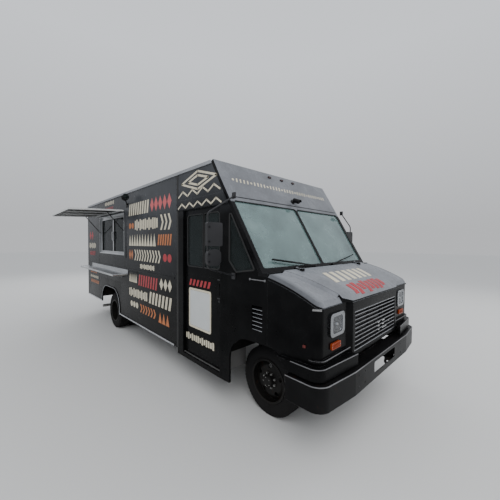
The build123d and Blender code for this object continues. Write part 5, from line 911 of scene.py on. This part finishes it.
def make_headlamps():
    """Reflector with bulb shield, housing ring and flat glass in each lamp, in place of the plain blocks."""
    bowls, lenses, housings = bmesh.new(), bmesh.new(), bmesh.new()
    outline = frame_loop(0.1714, 0.1514, 0.0257)
    bar = ((-0.060, -0.062), (0.060, -0.062), (0.060, -0.050), (-0.060, -0.050))
    for sign in (-1, 1):
        middle = place(sign * LAMP_X, -0.830, LAMP_Z)
        add_bowl(bowls, middle, 0.166, 0.146, 0.040)
        add_dome(bowls, middle + BACK * 0.022, FORWARD, 0.022, 0.030)
        add_ring(housings, upright(middle, outline), upright(middle, outline, 0.955, 0.95), BACK * 0.050)
        # Glass with a raised bar at its foot
        add_solid(lenses, upright(middle, bar, y=GLASS_Y - 0.0015), BACK * 0.0015)
        add_solid(lenses, upright(middle, outline, 0.995, 0.995, GLASS_Y), BACK * 0.0030)
    for name, form, look in (("lamp_bowls", bowls, "reflector"), ("lamp_lenses", lenses, "lamp_glass"),
                             ("lamp_housings", housings, "black_plastic")):
        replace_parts(add_piece(name, form, look), "headlamps")


def make_lamp_details():
    """Bezel screws, ribs in the amber lenses and rims and ribs of the tail lamps."""
    screws, ribs, rims = bmesh.new(), bmesh.new(), bmesh.new()
    for sign in (-1, 1):
        for u in (-0.104, 0.104):
            for v in (-0.084, 0.084):
                add_hex(screws, place(sign * LAMP_X + u, LENS_FACE, LAMP_Z + v), FORWARD, 0.0048, 0.0028)
        for u in (-0.072, 0.072):
            add_hex(screws, place(sign * AMBER_X + u, LENS_FACE, AMBER_Z), FORWARD, 0.0042, 0.0020)
        for k in range(AMBER_RIBS):
            x = sign * AMBER_X - AMBER_HALF + 2 * AMBER_HALF * k / (AMBER_RIBS - 1)
            section = ((-0.0026, 0), (0.0026, 0), (0.0014, -0.0016), (-0.0014, -0.0016))
            add_solid(ribs, [place(x + u, LENS_FACE + w, AMBER_Z - 0.020) for u, w in section], UP * 0.040)
        for z in (0.930, 1.060):
            middle = place(sign * 1.010, REAR_FACE, z)
            for form, inner, outer, depth in ((rims, 0.052, 0.064, 0.016), (ribs, 0.044, 0.047, 0.0246),
                                              (ribs, 0.024, 0.027, 0.0246)):
                outlines = [upright(middle, circle(radius, 36)) for radius in (outer, inner)]
                add_ring(form, *outlines, BACK * depth)
    add_piece("lamp_screws", screws, "zinc_steel", smooth=False)
    add_piece("lens_ribs", ribs, "amber", smooth=False)
    add_piece("tail_rims", rims, "rubber_seal")


# Cab details

def up_screen(z):
    """How far up the leaning screen a height lies."""
    return (z - SCREEN_FOOT.z) / math.cos(SCREEN_LEAN)


def make_header():
    """Rubber strip under the leaning header, and the small camera over the divider."""
    form = bmesh.new()
    for half, rise in ((0.005, 0.003), (0.002, 0.005)):
        corners = ((-1.165, -half), (1.165, -half), (1.165, half), (-1.165, half))
        add_solid(form, [SCREEN.point(u, up_screen(2.490) + v) for u, v in corners], SCREEN.out * rise)
    add_piece("header_strip", form, "rubber_seal", smooth=False)
    form = bmesh.new()
    foot = SCREEN.point(0.010, up_screen(2.555))
    add_hex(form, foot, SCREEN.out, 0.040, 0.012)
    aim = Vector((0, -1, -0.35)).normalized()
    neck = foot + SCREEN.out * 0.012
    add_tube(form, neck, neck + Vector((0, -0.030, 0.012)), 0.010, 12)
    head = neck + Vector((0, -0.020, 0.014))
    add_tube(form, head, head + aim * 0.085, 0.030, 20)
    add_tube(form, head + aim * 0.085, head + aim * 0.095, 0.024, 20)
    # Sunshade over the head
    rise = aim.cross(Vector((1, 0, 0)))
    if rise.z < 0:
        rise = -rise
    shade = arc(0.036, 0, 180, 8)
    shade += [(0.92 * u, 0.92 * v) for u, v in reversed(shade)]
    add_solid(form, [head - aim * 0.004 + Vector((u, 0, 0)) + rise * v for u, v in shade], aim * 0.112)
    add_piece("header_camera", form, "black_plastic")


# First and last x and z and corner radius of the main glass and the wide one
MIRRORS = ((1.392, 1.582, 1.925, 2.170, 0.022), (1.410, 1.582, 1.722, 1.895, 0.060))


def make_mirror_faces():
    """Mirror glass in the heads, with a thin rim and pivot clamps round each."""
    glass, rims = bmesh.new(), bmesh.new()
    for sign in (-1, 1):
        for x0, x1, z0, z1, radius in MIRRORS:
            middle = place(sign * (x0 + x1) / 2, 0.230, (z0 + z1) / 2)
            outline = frame_loop(x1 - x0, z1 - z0, radius)
            scale = (x1 - x0 - 0.016) / (x1 - x0)
            add_solid(glass, upright(middle, outline, scale, scale, 0.0008), BACK * 0.0012)
            add_ring(rims, upright(middle, outline), upright(middle, outline, scale, scale), BACK * 0.004)
            for z in (z0 + 0.05, z1 - 0.05):
                add_hex(rims, place(sign * 1.560, 0.196, z), FORWARD, 0.012, 0.012)
    add_piece("mirror_glass", glass, "mirror_face", smooth=False)
    add_piece("mirror_rims", rims, "black_plastic")


def make_nose_details():
    """Hood latches at the front corners, and the grab strips under the quarter windows."""
    latches, strips = bmesh.new(), bmesh.new()
    surface = surface_of("nose")
    for sign in (-1, 1):
        at, out = surface.find_nearest(place(sign * 1.160, -0.800, 1.392))[:2]
        out = Vector((out.x, out.y, 0)).normalized()
        along = Vector((-out.y, out.x, 0))
        foot = at + out * 0.0005
        outline = [foot + along * u + UP * v for u, v in frame_loop(0.080, 0.019, 0.007)]
        add_solid(latches, outline, out * 0.004)
        add_tube(latches, foot + along * -0.024 + out * 0.009, foot + along * 0.024 + out * 0.009, 0.006, 12)
        for u in (-0.034, 0.034):
            add_hex(latches, foot + along * u + out * 0.004, out, 0.0045, 0.003)
        ends = [place(sign * (half_width(y) + 0.006), y, 1.585) for y in (-0.219, -0.019)]
        add_tube(strips, *ends, 0.0055, 12)
        for end in ends:
            add_hex(strips, end - outward(sign) * 0.006, outward(sign), 0.014, 0.006)
    add_piece("hood_latches", latches, "latch_steel")
    add_piece("grab_strips", strips, "pale_wear_and_edge_highlight")


def make_hood_mouldings():
    """Sloping mouldings along the hood's raised edges; they lift with the hood."""
    hood = surface_of("hood")
    form = bmesh.new()
    for sign in (-1, 1):
        rings = []
        for k in range(17):
            y = -0.262 - 0.528 * k / 16
            edge = 0.930 - 0.170 * (-0.250 - y) / 0.570
            spots = [place(sign * (edge + aside), y, ABOVE) for aside in (-0.012, 0.045)]
            high, low = (hood.ray_cast(spot, DOWN)[0] for spot in spots)
            if high is None or low is None:
                continue
            step, foot = edge - 0.0030, low.z - 0.001
            section = ((step, high.z + 0.0004), (step, foot), (edge + 0.040, foot))
            rings.append([form.verts.new(place(sign * x, y, z)) for x, z in section])
        join_rings(form, rings)
        form.faces.new(rings[0])
        form.faces.new(list(reversed(rings[-1])))
    add_piece("hood_mouldings", form, "hood_black", "hood_body")


LOUVRE_SLATS = 6


def make_louvre_edges():
    """Bare lower lips of the louvre slats in the cab sides."""
    form = bmesh.new()
    y0, y1, low, top = -0.190, -0.042, 1.066, 1.318
    face = half_width(y0)
    for sign in (-1, 1):
        for number in range(LOUVRE_SLATS):
            z = low + number * (top - low) / LOUVRE_SLATS
            add_box(form, (sign * (face - 0.0002), y0 + 0.004, z + 0.0005),
                    (sign * (face + 0.0012), y1 - 0.004, z + 0.0065))
    add_piece("louvre_edges", form, "grille_edge", smooth=False)


# Body details

WINDOW_RIM = 1.2280
SASH_FACE = -1.186
WALL_TOP = 2.935
SEAM_Y = 1.450
SEAM_FOOT = 0.455
SHEET_JOINTS = (2.35, 3.65, 4.95)
JOINT_FACE = 1.2216
SCREW_PITCH = 0.15
FRAME_FACE = 0.4275


def make_wall_joints():
    """Joint strips and screws between the sheets of the side walls."""
    form, screws = bmesh.new(), bmesh.new()
    for sign, joints in ((1, SHEET_JOINTS), (-1, (5.42,))):
        for y in joints:
            low = 1.05 if 3.85 < y < 5.25 else 0.62
            add_box(form, (sign * 1.2202, y - 0.014, low), (sign * JOINT_FACE, y + 0.014, WALL_TOP))
            for k in range(int((WALL_TOP - low) / SCREW_PITCH)):
                spot = place(sign * JOINT_FACE, y, low + 0.06 + SCREW_PITCH * k)
                add_dome(screws, spot, outward(sign), 0.0055, 0.0022)
    add_piece("wall_joints", form, "wall_black", smooth=False)
    add_piece("joint_screws", screws, "arch_edge")


def make_posts():
    """Rounded cover mouldings on the seams between cab and body."""
    form = bmesh.new()
    for sign in (-1, 1):
        section = [place(sign * (HALF_WIDTH + 0.0045 * rise), SEAM_Y + 0.024 * along, SEAM_FOOT)
                   for along, rise in arc(1.0, 0, 180, 8)]
        add_solid(form, section, UP * 2.452)
    add_piece("seam_mouldings", form, "rubber_seal")


def make_bolts():
    """Bolt heads on the bumper, the frame rails and the flood lamp's foot."""
    form = bmesh.new()
    for x in (-0.66, -0.52, 0.52, 0.66):
        for z in (0.615, 0.725):
            add_dome(form, place(x, -0.950, z), FORWARD, 0.013, 0.002)
    for sign in (-1, 1):
        for k in range(24):
            for z in (0.70, 0.62):
                add_hex(form, place(sign * FRAME_FACE, 0.5 + k * 0.25, z), outward(sign), 0.010, 0.008)
    for y in (3.41, 3.47):
        for z in (2.665, 2.715):
            add_hex(form, place(-1.228, y, z), outward(-1), 0.006, 0.004)
    add_piece("bolts", form, "bumper_black", smooth=False)


def make_flood_lens():
    """Lens and cooling ribs of the flood lamp."""
    at = place(-1.345, 3.190, 2.800)
    way = Vector((0, -80, 16)).normalized()
    face = at + way * 0.041
    form = bmesh.new()
    add_tube(form, face, face + way * 0.003, 0.046, 28)
    add_dome(form, face + way * 0.003, way, 0.044, 0.008)
    add_piece("flood_lens", form, "glass_dark")
    form = bmesh.new()
    for k in range(6):
        start = at + way * (-0.030 + 0.011 * k)
        add_tube(form, start, start + way * 0.004, 0.058, 28)
    across = way.cross(Vector((1, 0, 0))).normalized()
    outer, inner = ([face + across * u + way.cross(across) * v for u, v in circle(radius, 32)]
                    for radius in (0.057, 0.047))
    add_ring(form, outer, inner, way * 0.007)
    add_piece("flood_ribs", form, "black_plastic")


# First and last y and z of the serving window's opening
WINDOW = (3.620, 5.320, 1.700, 2.555)
SHELF_TOP = 1.345


def make_window_details():
    """Tracks, pulls, latch and frame beads of the serving window."""
    form = bmesh.new()
    y0, y1, z0, z1 = WINDOW
    lip = 0.0012
    boxes = [(-WINDOW_RIM - lip, y0 - 0.012, z0, -WINDOW_RIM + 0.0002, y0 + lip, z1),
             (-WINDOW_RIM - lip, y1 - lip, z0, -WINDOW_RIM + 0.0002, y1 + 0.012, z1),
             (-WINDOW_RIM - lip, y0, z1 - lip, -WINDOW_RIM + 0.0002, y1, z1 + 0.012),
             (-WINDOW_RIM, y0 - 0.0002, z0 + 0.03, SASH_FACE, y0 + lip, z1),
             (-WINDOW_RIM, y1 - lip, z0 + 0.03, SASH_FACE, y1 + 0.0002, z1),
             (-WINDOW_RIM, y0, z1 - lip, SASH_FACE, y1, z1 + 0.0002)]
    for z in (1.762, 2.488):
        boxes.append((SASH_FACE - 0.010, 3.74, z - 0.006, SASH_FACE + 0.001, 5.26, z + 0.006))
    for y in (4.372, 4.468):
        boxes.append((SASH_FACE - 0.016, y - 0.010, 2.020, SASH_FACE, y + 0.010, 2.200))
    boxes.append((SASH_FACE - 0.012, 4.404, 1.990, SASH_FACE, 4.436, 2.050))
    for box in boxes:
        add_box(form, box[:3], box[3:])
    for y in (3.700, 4.420, 5.300):
        for z in (1.730, 2.100, 2.520):
            add_hex(form, place(SASH_FACE, y, z), outward(-1), 0.005, 0.003)
    add_piece("window_tracks", form, "stainless", smooth=False)


def make_shelf_details():
    """Rolled bead round the shelf, and its rivets."""
    corners = ((3.432, -1.2215), (3.432, -1.494), (6.048, -1.494), (6.048, -1.2215))
    edge = [place(x, y, SHELF_TOP - 0.002) for y, x in corners]
    add_bead("shelf_bead", [edge], 0.006, "stainless", closed=False)
    form = bmesh.new()
    for y in (3.740, 4.740, 5.740):
        for x in (-1.26, -1.36, -1.46):
            add_dome(form, place(x, y, SHELF_TOP), UP, 0.006, 0.002)
    for k in range(17):
        add_dome(form, place(-1.224, 3.50 + k * 0.157, 1.400), outward(-1), *ROOF_RIVET)
    add_piece("shelf_rivets", form, "stainless")


# First and last x and z of a rear door's gasket
GASKET = (0.012, 0.785, 0.875, 2.535)
ROD_X = -0.048
ROD_Y = REAR_FACE + 0.012
GUIDE_FACE = REAR_FACE + 0.008
GUIDES = (0.94, 1.30, 1.60, 2.05, 2.46)
GRAB_X = 0.93
GRAB_FEET = (1.40, 1.96)
GRAB_REACH = 0.056
GRAB_BEND = 0.040
PLATE_X = -1.000
PLATE_THICK = 0.0025
# Rows and columns of the step's tread bars, with the place and pitch of each
TREAD_ROWS = (8, REAR_FACE + 0.020, 0.022)
TREAD_COLUMNS = (58, -0.870, 0.030)


def make_rear_doors():
    """Rear door gaskets, lock rods with their guides, and grab handles."""
    feet = bmesh.new()
    x0, x1, z0, z1 = GASKET
    gasket = frame_loop(x1 - x0, z1 - z0, 0.020)
    for sign, side in SIDES:
        body = "rear_door_body_" + side
        loop = upright(place(sign * (x0 + x1) / 2, REAR_FACE + 0.0015, (z0 + z1) / 2), gasket)
        add_bead("gasket_rear_" + side, [loop], 0.004, "rubber_seal", body)
        form = bmesh.new()
        for z in (1.300, 1.520):
            add_hex(form, place(sign * 0.072, REAR_FACE, z), BACK, 0.014, 0.010)
        if side == "right":
            add_tube(form, place(ROD_X, ROD_Y, 0.900), place(ROD_X, ROD_Y, 2.500), 0.009, 12)
            for z in GUIDES:
                add_box(form, (ROD_X - 0.020, REAR_FACE, z - 0.018), (ROD_X + 0.020, GUIDE_FACE, z + 0.018))
                for u in (-0.014, 0.014):
                    add_hex(form, place(ROD_X + u, GUIDE_FACE, z), BACK, 0.004, 0.003)
        add_piece("lock_rear_" + side, form, "zinc_steel", body)
        low, high = GRAB_FEET
        corners = ((0, low), (GRAB_REACH, low + GRAB_BEND), (GRAB_REACH, high - GRAB_BEND), (0, high))
        handle = [place(sign * GRAB_X, REAR_FACE + y, z) for y, z in corners]
        add_bead("grab_rear_" + side, [handle], 0.012, "zinc_steel", closed=False)
        for z in GRAB_FEET:
            add_hex(feet, place(sign * GRAB_X, REAR_FACE, z), BACK, 0.030, 0.005)
    add_piece("grab_feet", feet, "zinc_steel")


def make_rear_plate():
    """Blank plate with its two screws."""
    form = bmesh.new()
    outline = upright(place(PLATE_X, REAR_FACE, 1.235), frame_loop(0.305, 0.152, 0.012))
    add_solid(form, outline, BACK * PLATE_THICK)
    for u in (-0.12, 0.12):
        add_hex(form, place(PLATE_X + u, REAR_FACE + PLATE_THICK, 1.290), BACK, 0.005, 0.003)
    add_piece("plate_rear", form, "plate_white", smooth=False)


def make_step_tread():
    """Short slanted bars on the rear step, turned one way and the other."""
    form = bmesh.new()
    half, thick = 0.009, 0.0028
    bar = ((-half, -half), (thick - half, -half - thick), (half, half), (half - thick, half + thick))
    rows, first_y, row_pitch = TREAD_ROWS
    columns, first_x, pitch = TREAD_COLUMNS
    for row in range(rows):
        for column in range(columns):
            x = first_x + column * pitch + pitch / 2 * (row % 2)
            y = first_y + row * row_pitch
            turn = 1 if (row + column) % 2 else -1
            add_solid(form, [place(x + u, y + v * turn, 0.480) for u, v in bar], UP * 0.0016)
    add_piece("step_tread", form, "pale_wear_and_edge_highlight", smooth=False)


ROOF_HALF = 1.160
ROOF_SIDE = 1.190
ROOF_EDGE_Z = 2.955
ROOF_CROWN = 0.024
SEAM_STEPS = 24


def roof_point(x, y, lift=0.0):
    """A point over the curved roof."""
    return place(x, y, ROOF_EDGE_Z + ROOF_CROWN * (1 - (x / ROOF_SIDE) ** 2) + lift)


def make_roof_details():
    """Rivets over the roof bows and along its edges, and the seam caps between its sheets."""
    form, seams = bmesh.new(), bmesh.new()
    for y in (1.70, 3.00, 4.30, 5.60):
        for k in range(41):
            for aside in (-0.020, 0.020):
                add_dome(form, roof_point(ROOF_HALF * (k / 20 - 1), y + aside), UP, *ROOF_RIVET)
    for sign in (-1, 1):
        for y in pitched(0.78, 6.45, 0.065):
            add_dome(form, roof_point(sign * ROOF_HALF, y), UP, *ROOF_RIVET)
    add_piece("roof_rivets", form, "roof_white")
    for y in SHEET_JOINTS:
        for k in range(SEAM_STEPS):
            x0, x1 = (ROOF_HALF * (2 * step / SEAM_STEPS - 1) for step in (k, k + 1))
            section = ((-0.025, -0.001), (0.025, -0.001), (0.020, 0.0025), (-0.020, 0.0025))
            add_solid(seams, [roof_point(x0, y + v, lift) for v, lift in section],
                      roof_point(x1, y) - roof_point(x0, y))
    add_piece("roof_seams", seams, "roof_white", smooth=False)


# The dashboard's sloping face, in y and z: its foot, the way up to its top edge, its outward direction
DASH_FOOT = (0.150, 1.480)
DASH_RISE = (-0.040, 0.120)
DASH_OUT = (0.95, 0.31)


def dash_point(x, t, lift):
    """A point on the dashboard's sloping face, at share t of the way up."""
    y, z = (foot + rise * t + lift * out for foot, rise, out in zip(DASH_FOOT, DASH_RISE, DASH_OUT))
    return place(x, y, z)


def dash_panel(x0, x1, low, high):
    return [dash_point(x, t, 0.001) for x, t in ((x0, low), (x1, low), (x1, high), (x0, high))]


def make_cab_inside():
    """Gauge panel, gauges and vents on the dashboard, and piping on the seat."""
    form = bmesh.new()
    add_solid(form, dash_panel(0.36, 0.80, 0.1, 0.9), Vector((0, 0.010, 0.003)))
    for x in (0.46, 0.58, 0.70):
        centre = dash_point(x, 0.5, 0.012)
        add_tube(form, centre, centre + Vector((0, 0.006, 0.002)), 0.038, 24)
    for x in (-0.80, -0.40, 0.10, 0.92):
        for k in range(5):
            low = 0.2 + 0.13 * k
            add_solid(form, dash_panel(x - 0.06, x + 0.06, low, low + 0.04), Vector((0, 0.008, 0.002)))
    add_piece("dash_details", form, "black_plastic", smooth=False)
    loops = []
    for inset in (0.0, 0.055):
        x0, x1, y0, y1 = 0.380 + inset, 0.790 - inset, 0.62 + inset, 1.09 - inset
        loops.append([place(x, y, 1.300) for x, y in ((x0, y0), (x1, y0), (x1, y1), (x0, y1))])
    for inset in (0.0, 0.060):
        x0, x1, low, high = 0.390 + inset, 0.780 - inset, 1.330 + inset, 1.920 - inset
        loops.append([place(x, 0.989 + (z - 1.290) * 0.140 / 0.640, z)
                      for x, z in ((x0, low), (x1, low), (x1, high), (x0, high))])
    add_bead("seat_piping", loops, 0.006, "seat_vinyl")


# First and last x of each step into the cab, and its height
CAB_STEPS = ((1.010, 1.130, 0.430), (0.815, 0.990, 0.640))
RIB_PITCH = 0.022


def make_steps():
    """Ribs on the cab's two steps."""
    form = bmesh.new()
    for sign in (-1, 1):
        for x0, x1, z in CAB_STEPS:
            for k in range(int((x1 - x0) / RIB_PITCH)):
                x = x0 + RIB_PITCH * k
                add_box(form, (sign * x, 0.500, z), (sign * (x + 0.010), 1.260, z + 0.0025))
    add_piece("step_ribs", form, "floor_grey", smooth=False)


def make_door_details():
    """Handle plates, lock, bolts along the foot and edge seal of each sliding door."""
    for sign, side in SIDES:
        form = bmesh.new()
        out = outward(sign)
        x = sign * DOOR_FACE
        body = "cab_door_body_" + side
        for z in (1.285, 1.510):
            add_box(form, (x, 0.490, z), (x + sign * 0.003, 0.560, z + 0.015))
        lock = place(x, 0.521, 1.260)
        add_tube(form, lock, lock + out * 0.006, 0.014, 16)
        add_hex(form, lock + out * 0.006, out, 0.006, 0.002)
        for k in range(7):
            add_dome(form, place(x, 0.56 + k * 0.11, 0.475), out, *STRIP_RIVET)
        add_piece("door_hardware_" + side, form, "mirror_shell", body)
        seal = [place(sign * 1.176, 0.4655, z) for z in (0.450, 2.400)]
        add_bead("door_edge_" + side, [seal], 0.0045, "rubber_seal", body, closed=False)


# Graphics: a geometric pattern in the truck's cream, orange and red

FOOT_LIFT = 0.0002
SHEET = 0.0012
HOOD_SHEET = 0.0036
# First y, pitch and number of the cuts that let a motif follow the hood
CUTS = (-0.90, 0.01, 80)
# One unit cell of each motif, as (share across, share up)
CELLS = {
    "triangles": ((0.06, 0), (0.94, 0), (0.5, 1)),
    "chevrons": ((0, 0), (0.42, 0), (0.878, 0.5), (0.42, 1), (0, 1), (0.5, 0.5)),
    "diamonds": ((0.06, 0.5), (0.5, 0), (0.94, 0.5), (0.5, 1)),
    "slants": ((0, 0), (0.55, 0), (0.95, 1), (0.40, 1)),
}
# Motif, look, first and last u, foot, height and count of each run on the kerb wall
WALL_RUNS = [
    ("slants", "cream", -3.36, -2.42, 2.47, 0.22, 9),
    ("diamonds", "rose", -2.38, -1.62, 2.47, 0.23, 5),
    ("dots", "orange", -3.36, -3.10, 2.20, 0.15, 2),
    ("bars", "cream", -3.06, -2.08, 2.18, 0.20, 13),
    ("chevrons", "cream", -2.00, -1.62, 2.16, 0.24, 3),
    ("triangles", "cream", -3.36, -2.16, 1.90, 0.21, 10),
    ("slants", "orange", -2.10, -1.62, 1.92, 0.17, 6),
    ("diamonds", "orange", -3.36, -3.14, 1.63, 0.20, 2),
    ("chevrons", "cream", -3.08, -1.98, 1.63, 0.20, 10),
    ("dots", "red", -1.92, -1.62, 1.64, 0.17, 2),
    ("bars", "cream", -2.82, -2.22, 1.49, 0.09, 11),
    ("triangles", "cream", -3.36, -2.96, 1.21, 0.17, 4),
    ("slants", "red", -2.90, -2.10, 1.18, 0.20, 8),
    ("diamonds", "cream", -2.04, -1.62, 1.21, 0.19, 3),
    ("bars", "cream", -3.36, -2.50, 0.93, 0.17, 12),
    ("slants", "cream", -2.44, -1.62, 0.93, 0.20, 7),
    ("dots", "cream", -3.30, -2.90, 0.73, 0.13, 3),
    ("chevrons", "orange", -2.82, -2.16, 0.70, 0.15, 6),
    ("triangles", "orange", -2.08, -1.70, 0.68, 0.17, 3),
    ("bars", "cream", -4.90, -4.24, 2.80, 0.085, 9),
    ("slants", "red", -4.84, -4.28, 2.70, 0.055, 8),
    ("diamonds", "red", -6.34, -5.92, 2.02, 0.24, 2),
    ("bars", "cream", -6.34, -5.70, 1.80, 0.15, 8),
    ("slants", "red", -6.30, -5.76, 1.62, 0.11, 6),
    ("triangles", "orange", -6.24, -5.62, 1.16, 0.06, 7),
    ("bars", "cream", -6.24, -5.50, 1.03, 0.07, 12),
    ("slants", "orange", -6.20, -5.44, 0.90, 0.08, 9),
]
# The same on the kerb door
DOOR_RUNS = [
    ("slants", "red", -1.203, -0.689, 1.385, 0.085, 6),
    ("bars", "cream", -1.286, -0.617, 0.630, 0.095, 14),
]
# The same on the hood, seen from above
HOOD_RUNS = [
    ("slants", "cream", -0.54, 0.43, -0.640, 0.200, 7),
    ("bars", "red", -0.47, 0.38, -0.835, 0.150, 8),
]
HEADER_MARKS = 34
SIGN_MIDDLE = (-0.946, 1.083)


def motif(kind, u0, u1, v, height, count):
    """Outlines of a row of one motif."""
    pitch = (u1 - u0) / count
    shapes = []
    for i in range(count):
        if kind == "dots":
            middle = (u0 + (i + 0.5) * pitch, v + height / 2)
            rim = circle(min(pitch, height) * 0.42, 18)
            shapes.append([(middle[0] + x, middle[1] + y) for x, y in rim])
            continue
        cell = CELLS.get(kind)
        if kind == "bars":
            # Uneven bars about one middle line
            low = 0.225 * (1 - abs(math.sin(1.3 * i + 0.6)))
            cell = ((0.12, low), (0.82, low), (0.82, 1 - low), (0.12, 1 - low))
        shapes.append([(u0 + (i + x) * pitch, v + y * height) for x, y in cell])
    return shapes


def ribbon(points, width, closed=False):
    """Outlines of a flat ribbon of even width along a line of points."""
    shapes = []
    ends = points[1:] + points[:1] if closed else points[1:]
    for start, end in zip(points, ends):
        a, b = Vector(start), Vector(end)
        along = (b - a).normalized()
        across = Vector((-along.y, along.x)) * width / 2
        a -= along * width * 0.25
        b += along * width * 0.25
        shapes.append([tuple(p) for p in (a - across, b - across, b + across, a + across)])
    return shapes


def zigzag(u, v, w, h, count):
    return [(u + w * i / count, v + h * (i % 2)) for i in range(count + 1)]


def rhombus(u, v, w, h):
    return [(u - w, v), (u, v - h), (u + w, v), (u, v + h)]


def add_draped(form, shapes, node, lift):
    """Flat shapes seen from above, cut into strips and laid on a CAD node's upper surface."""
    tree = surface_of(node)
    first, pitch, count = CUTS
    for shape in shapes:
        flat = bmesh.new()
        flat.faces.new([flat.verts.new((x, y, 0)) for x, y in shape])
        for step in range(count):
            bmesh.ops.bisect_plane(flat, geom=flat.verts[:] + flat.edges[:] + flat.faces[:],
                                   plane_co=(0, first + step * pitch, 0), plane_no=BACK)
        flat.verts.index_update()
        tops = [tree.ray_cast(place(vert.co.x, vert.co.y, ABOVE), DOWN)[0] for vert in flat.verts]
        if None not in tops:
            high, low = ([form.verts.new(top + UP * rise) for top in tops] for rise in (lift, FOOT_LIFT))
            for face in flat.faces:
                ids = [v.index for v in face.verts]
                form.faces.new([high[i] for i in ids])
                form.faces.new([low[i] for i in reversed(ids)])
            for edge in flat.edges:
                if len(edge.link_faces) == 1:
                    i, j = (v.index for v in edge.verts)
                    form.faces.new((low[i], low[j], high[j], high[i]))
        flat.free()


def make_sign():
    """Blank white plate with a cream rim on the kerb door."""
    outline = frame_loop(0.514, 0.535, 0.030)
    across, up = SIGN_MIDDLE
    outer, inner, edge = ([DOOR.point(across + u * scale, up + v * scale, FOOT_LIFT) for u, v in outline]
                          for scale in (1.0, 0.90, 0.89))
    plate, rim = bmesh.new(), bmesh.new()
    add_solid(plate, edge, DOOR.out * 0.0022)
    add_ring(rim, outer, inner, DOOR.out * 0.0030)
    for name, form, look in (("sign_plate", plate, "plate_white"), ("sign_rim", rim, "decal_cream")):
        add_piece(name, form, look, "cab_door_body_right", smooth=False)


def make_graphics():
    """Rows of motifs on wall, header, door and hood, and the line design on the cab's top."""
    layers = defaultdict(bmesh.new)

    def add(look, plane, shapes, body="truck"):
        for shape in shapes:
            points = [plane.point(u, v, FOOT_LIFT) for u, v in shape]
            add_solid(layers[look, body], points, plane.out * SHEET)

    for kind, look, *where in WALL_RUNS:
        add(look, KERB, motif(kind, *where))
    for number in range(HEADER_MARKS):
        u = -1.05 + number * 2.10 / HEADER_MARKS
        kind, foot, height = ("slants", 1.215, 0.060) if number % 5 else ("dots", 1.225, 0.040)
        add("cream", SCREEN, motif(kind, u, u + 0.040, foot, height, 1))
    for kind, look, *where in DOOR_RUNS:
        add(look, DOOR, motif(kind, *where), "cab_door_body_right")
    # Two nested rhombs over a pair of zigzags
    for w, h in ((0.40, 0.115), (0.23, 0.062)):
        add("cream", KERB, ribbon(rhombus(-0.93, 2.765, w, h), 0.026, True))
    add("cream", KERB, ribbon(zigzag(-1.42, 2.590, 0.96, 0.070, 8), 0.022))
    add("cream", BAND, ribbon(zigzag(-1.40, 2.430, 0.98, 0.060, 10), 0.020))
    for kind, look, *where in HOOD_RUNS:
        add_draped(layers[look, "hood_body"], motif(kind, *where), "hood", HOOD_SHEET)
    for (look, body), form in layers.items():
        add_piece(f"graphic_{look}_{body}", form, "decal_" + look, body, smooth=False)


make_camera()
make_light()
make_floor()
dress_nodes()
make_tyres()
make_wheel_nuts()
make_seals()
make_rivets()
make_edges()
make_grille_edges()
make_rails()
make_headlamps()
make_lamp_details()
make_header()
make_mirror_faces()
make_nose_details()
make_hood_mouldings()
make_louvre_edges()
make_wall_joints()
make_posts()
make_bolts()
make_flood_lens()
make_window_details()
make_shelf_details()
make_rear_doors()
make_rear_plate()
make_step_tread()
make_roof_details()
make_cab_inside()
make_steps()
make_door_details()
make_sign()
make_graphics()
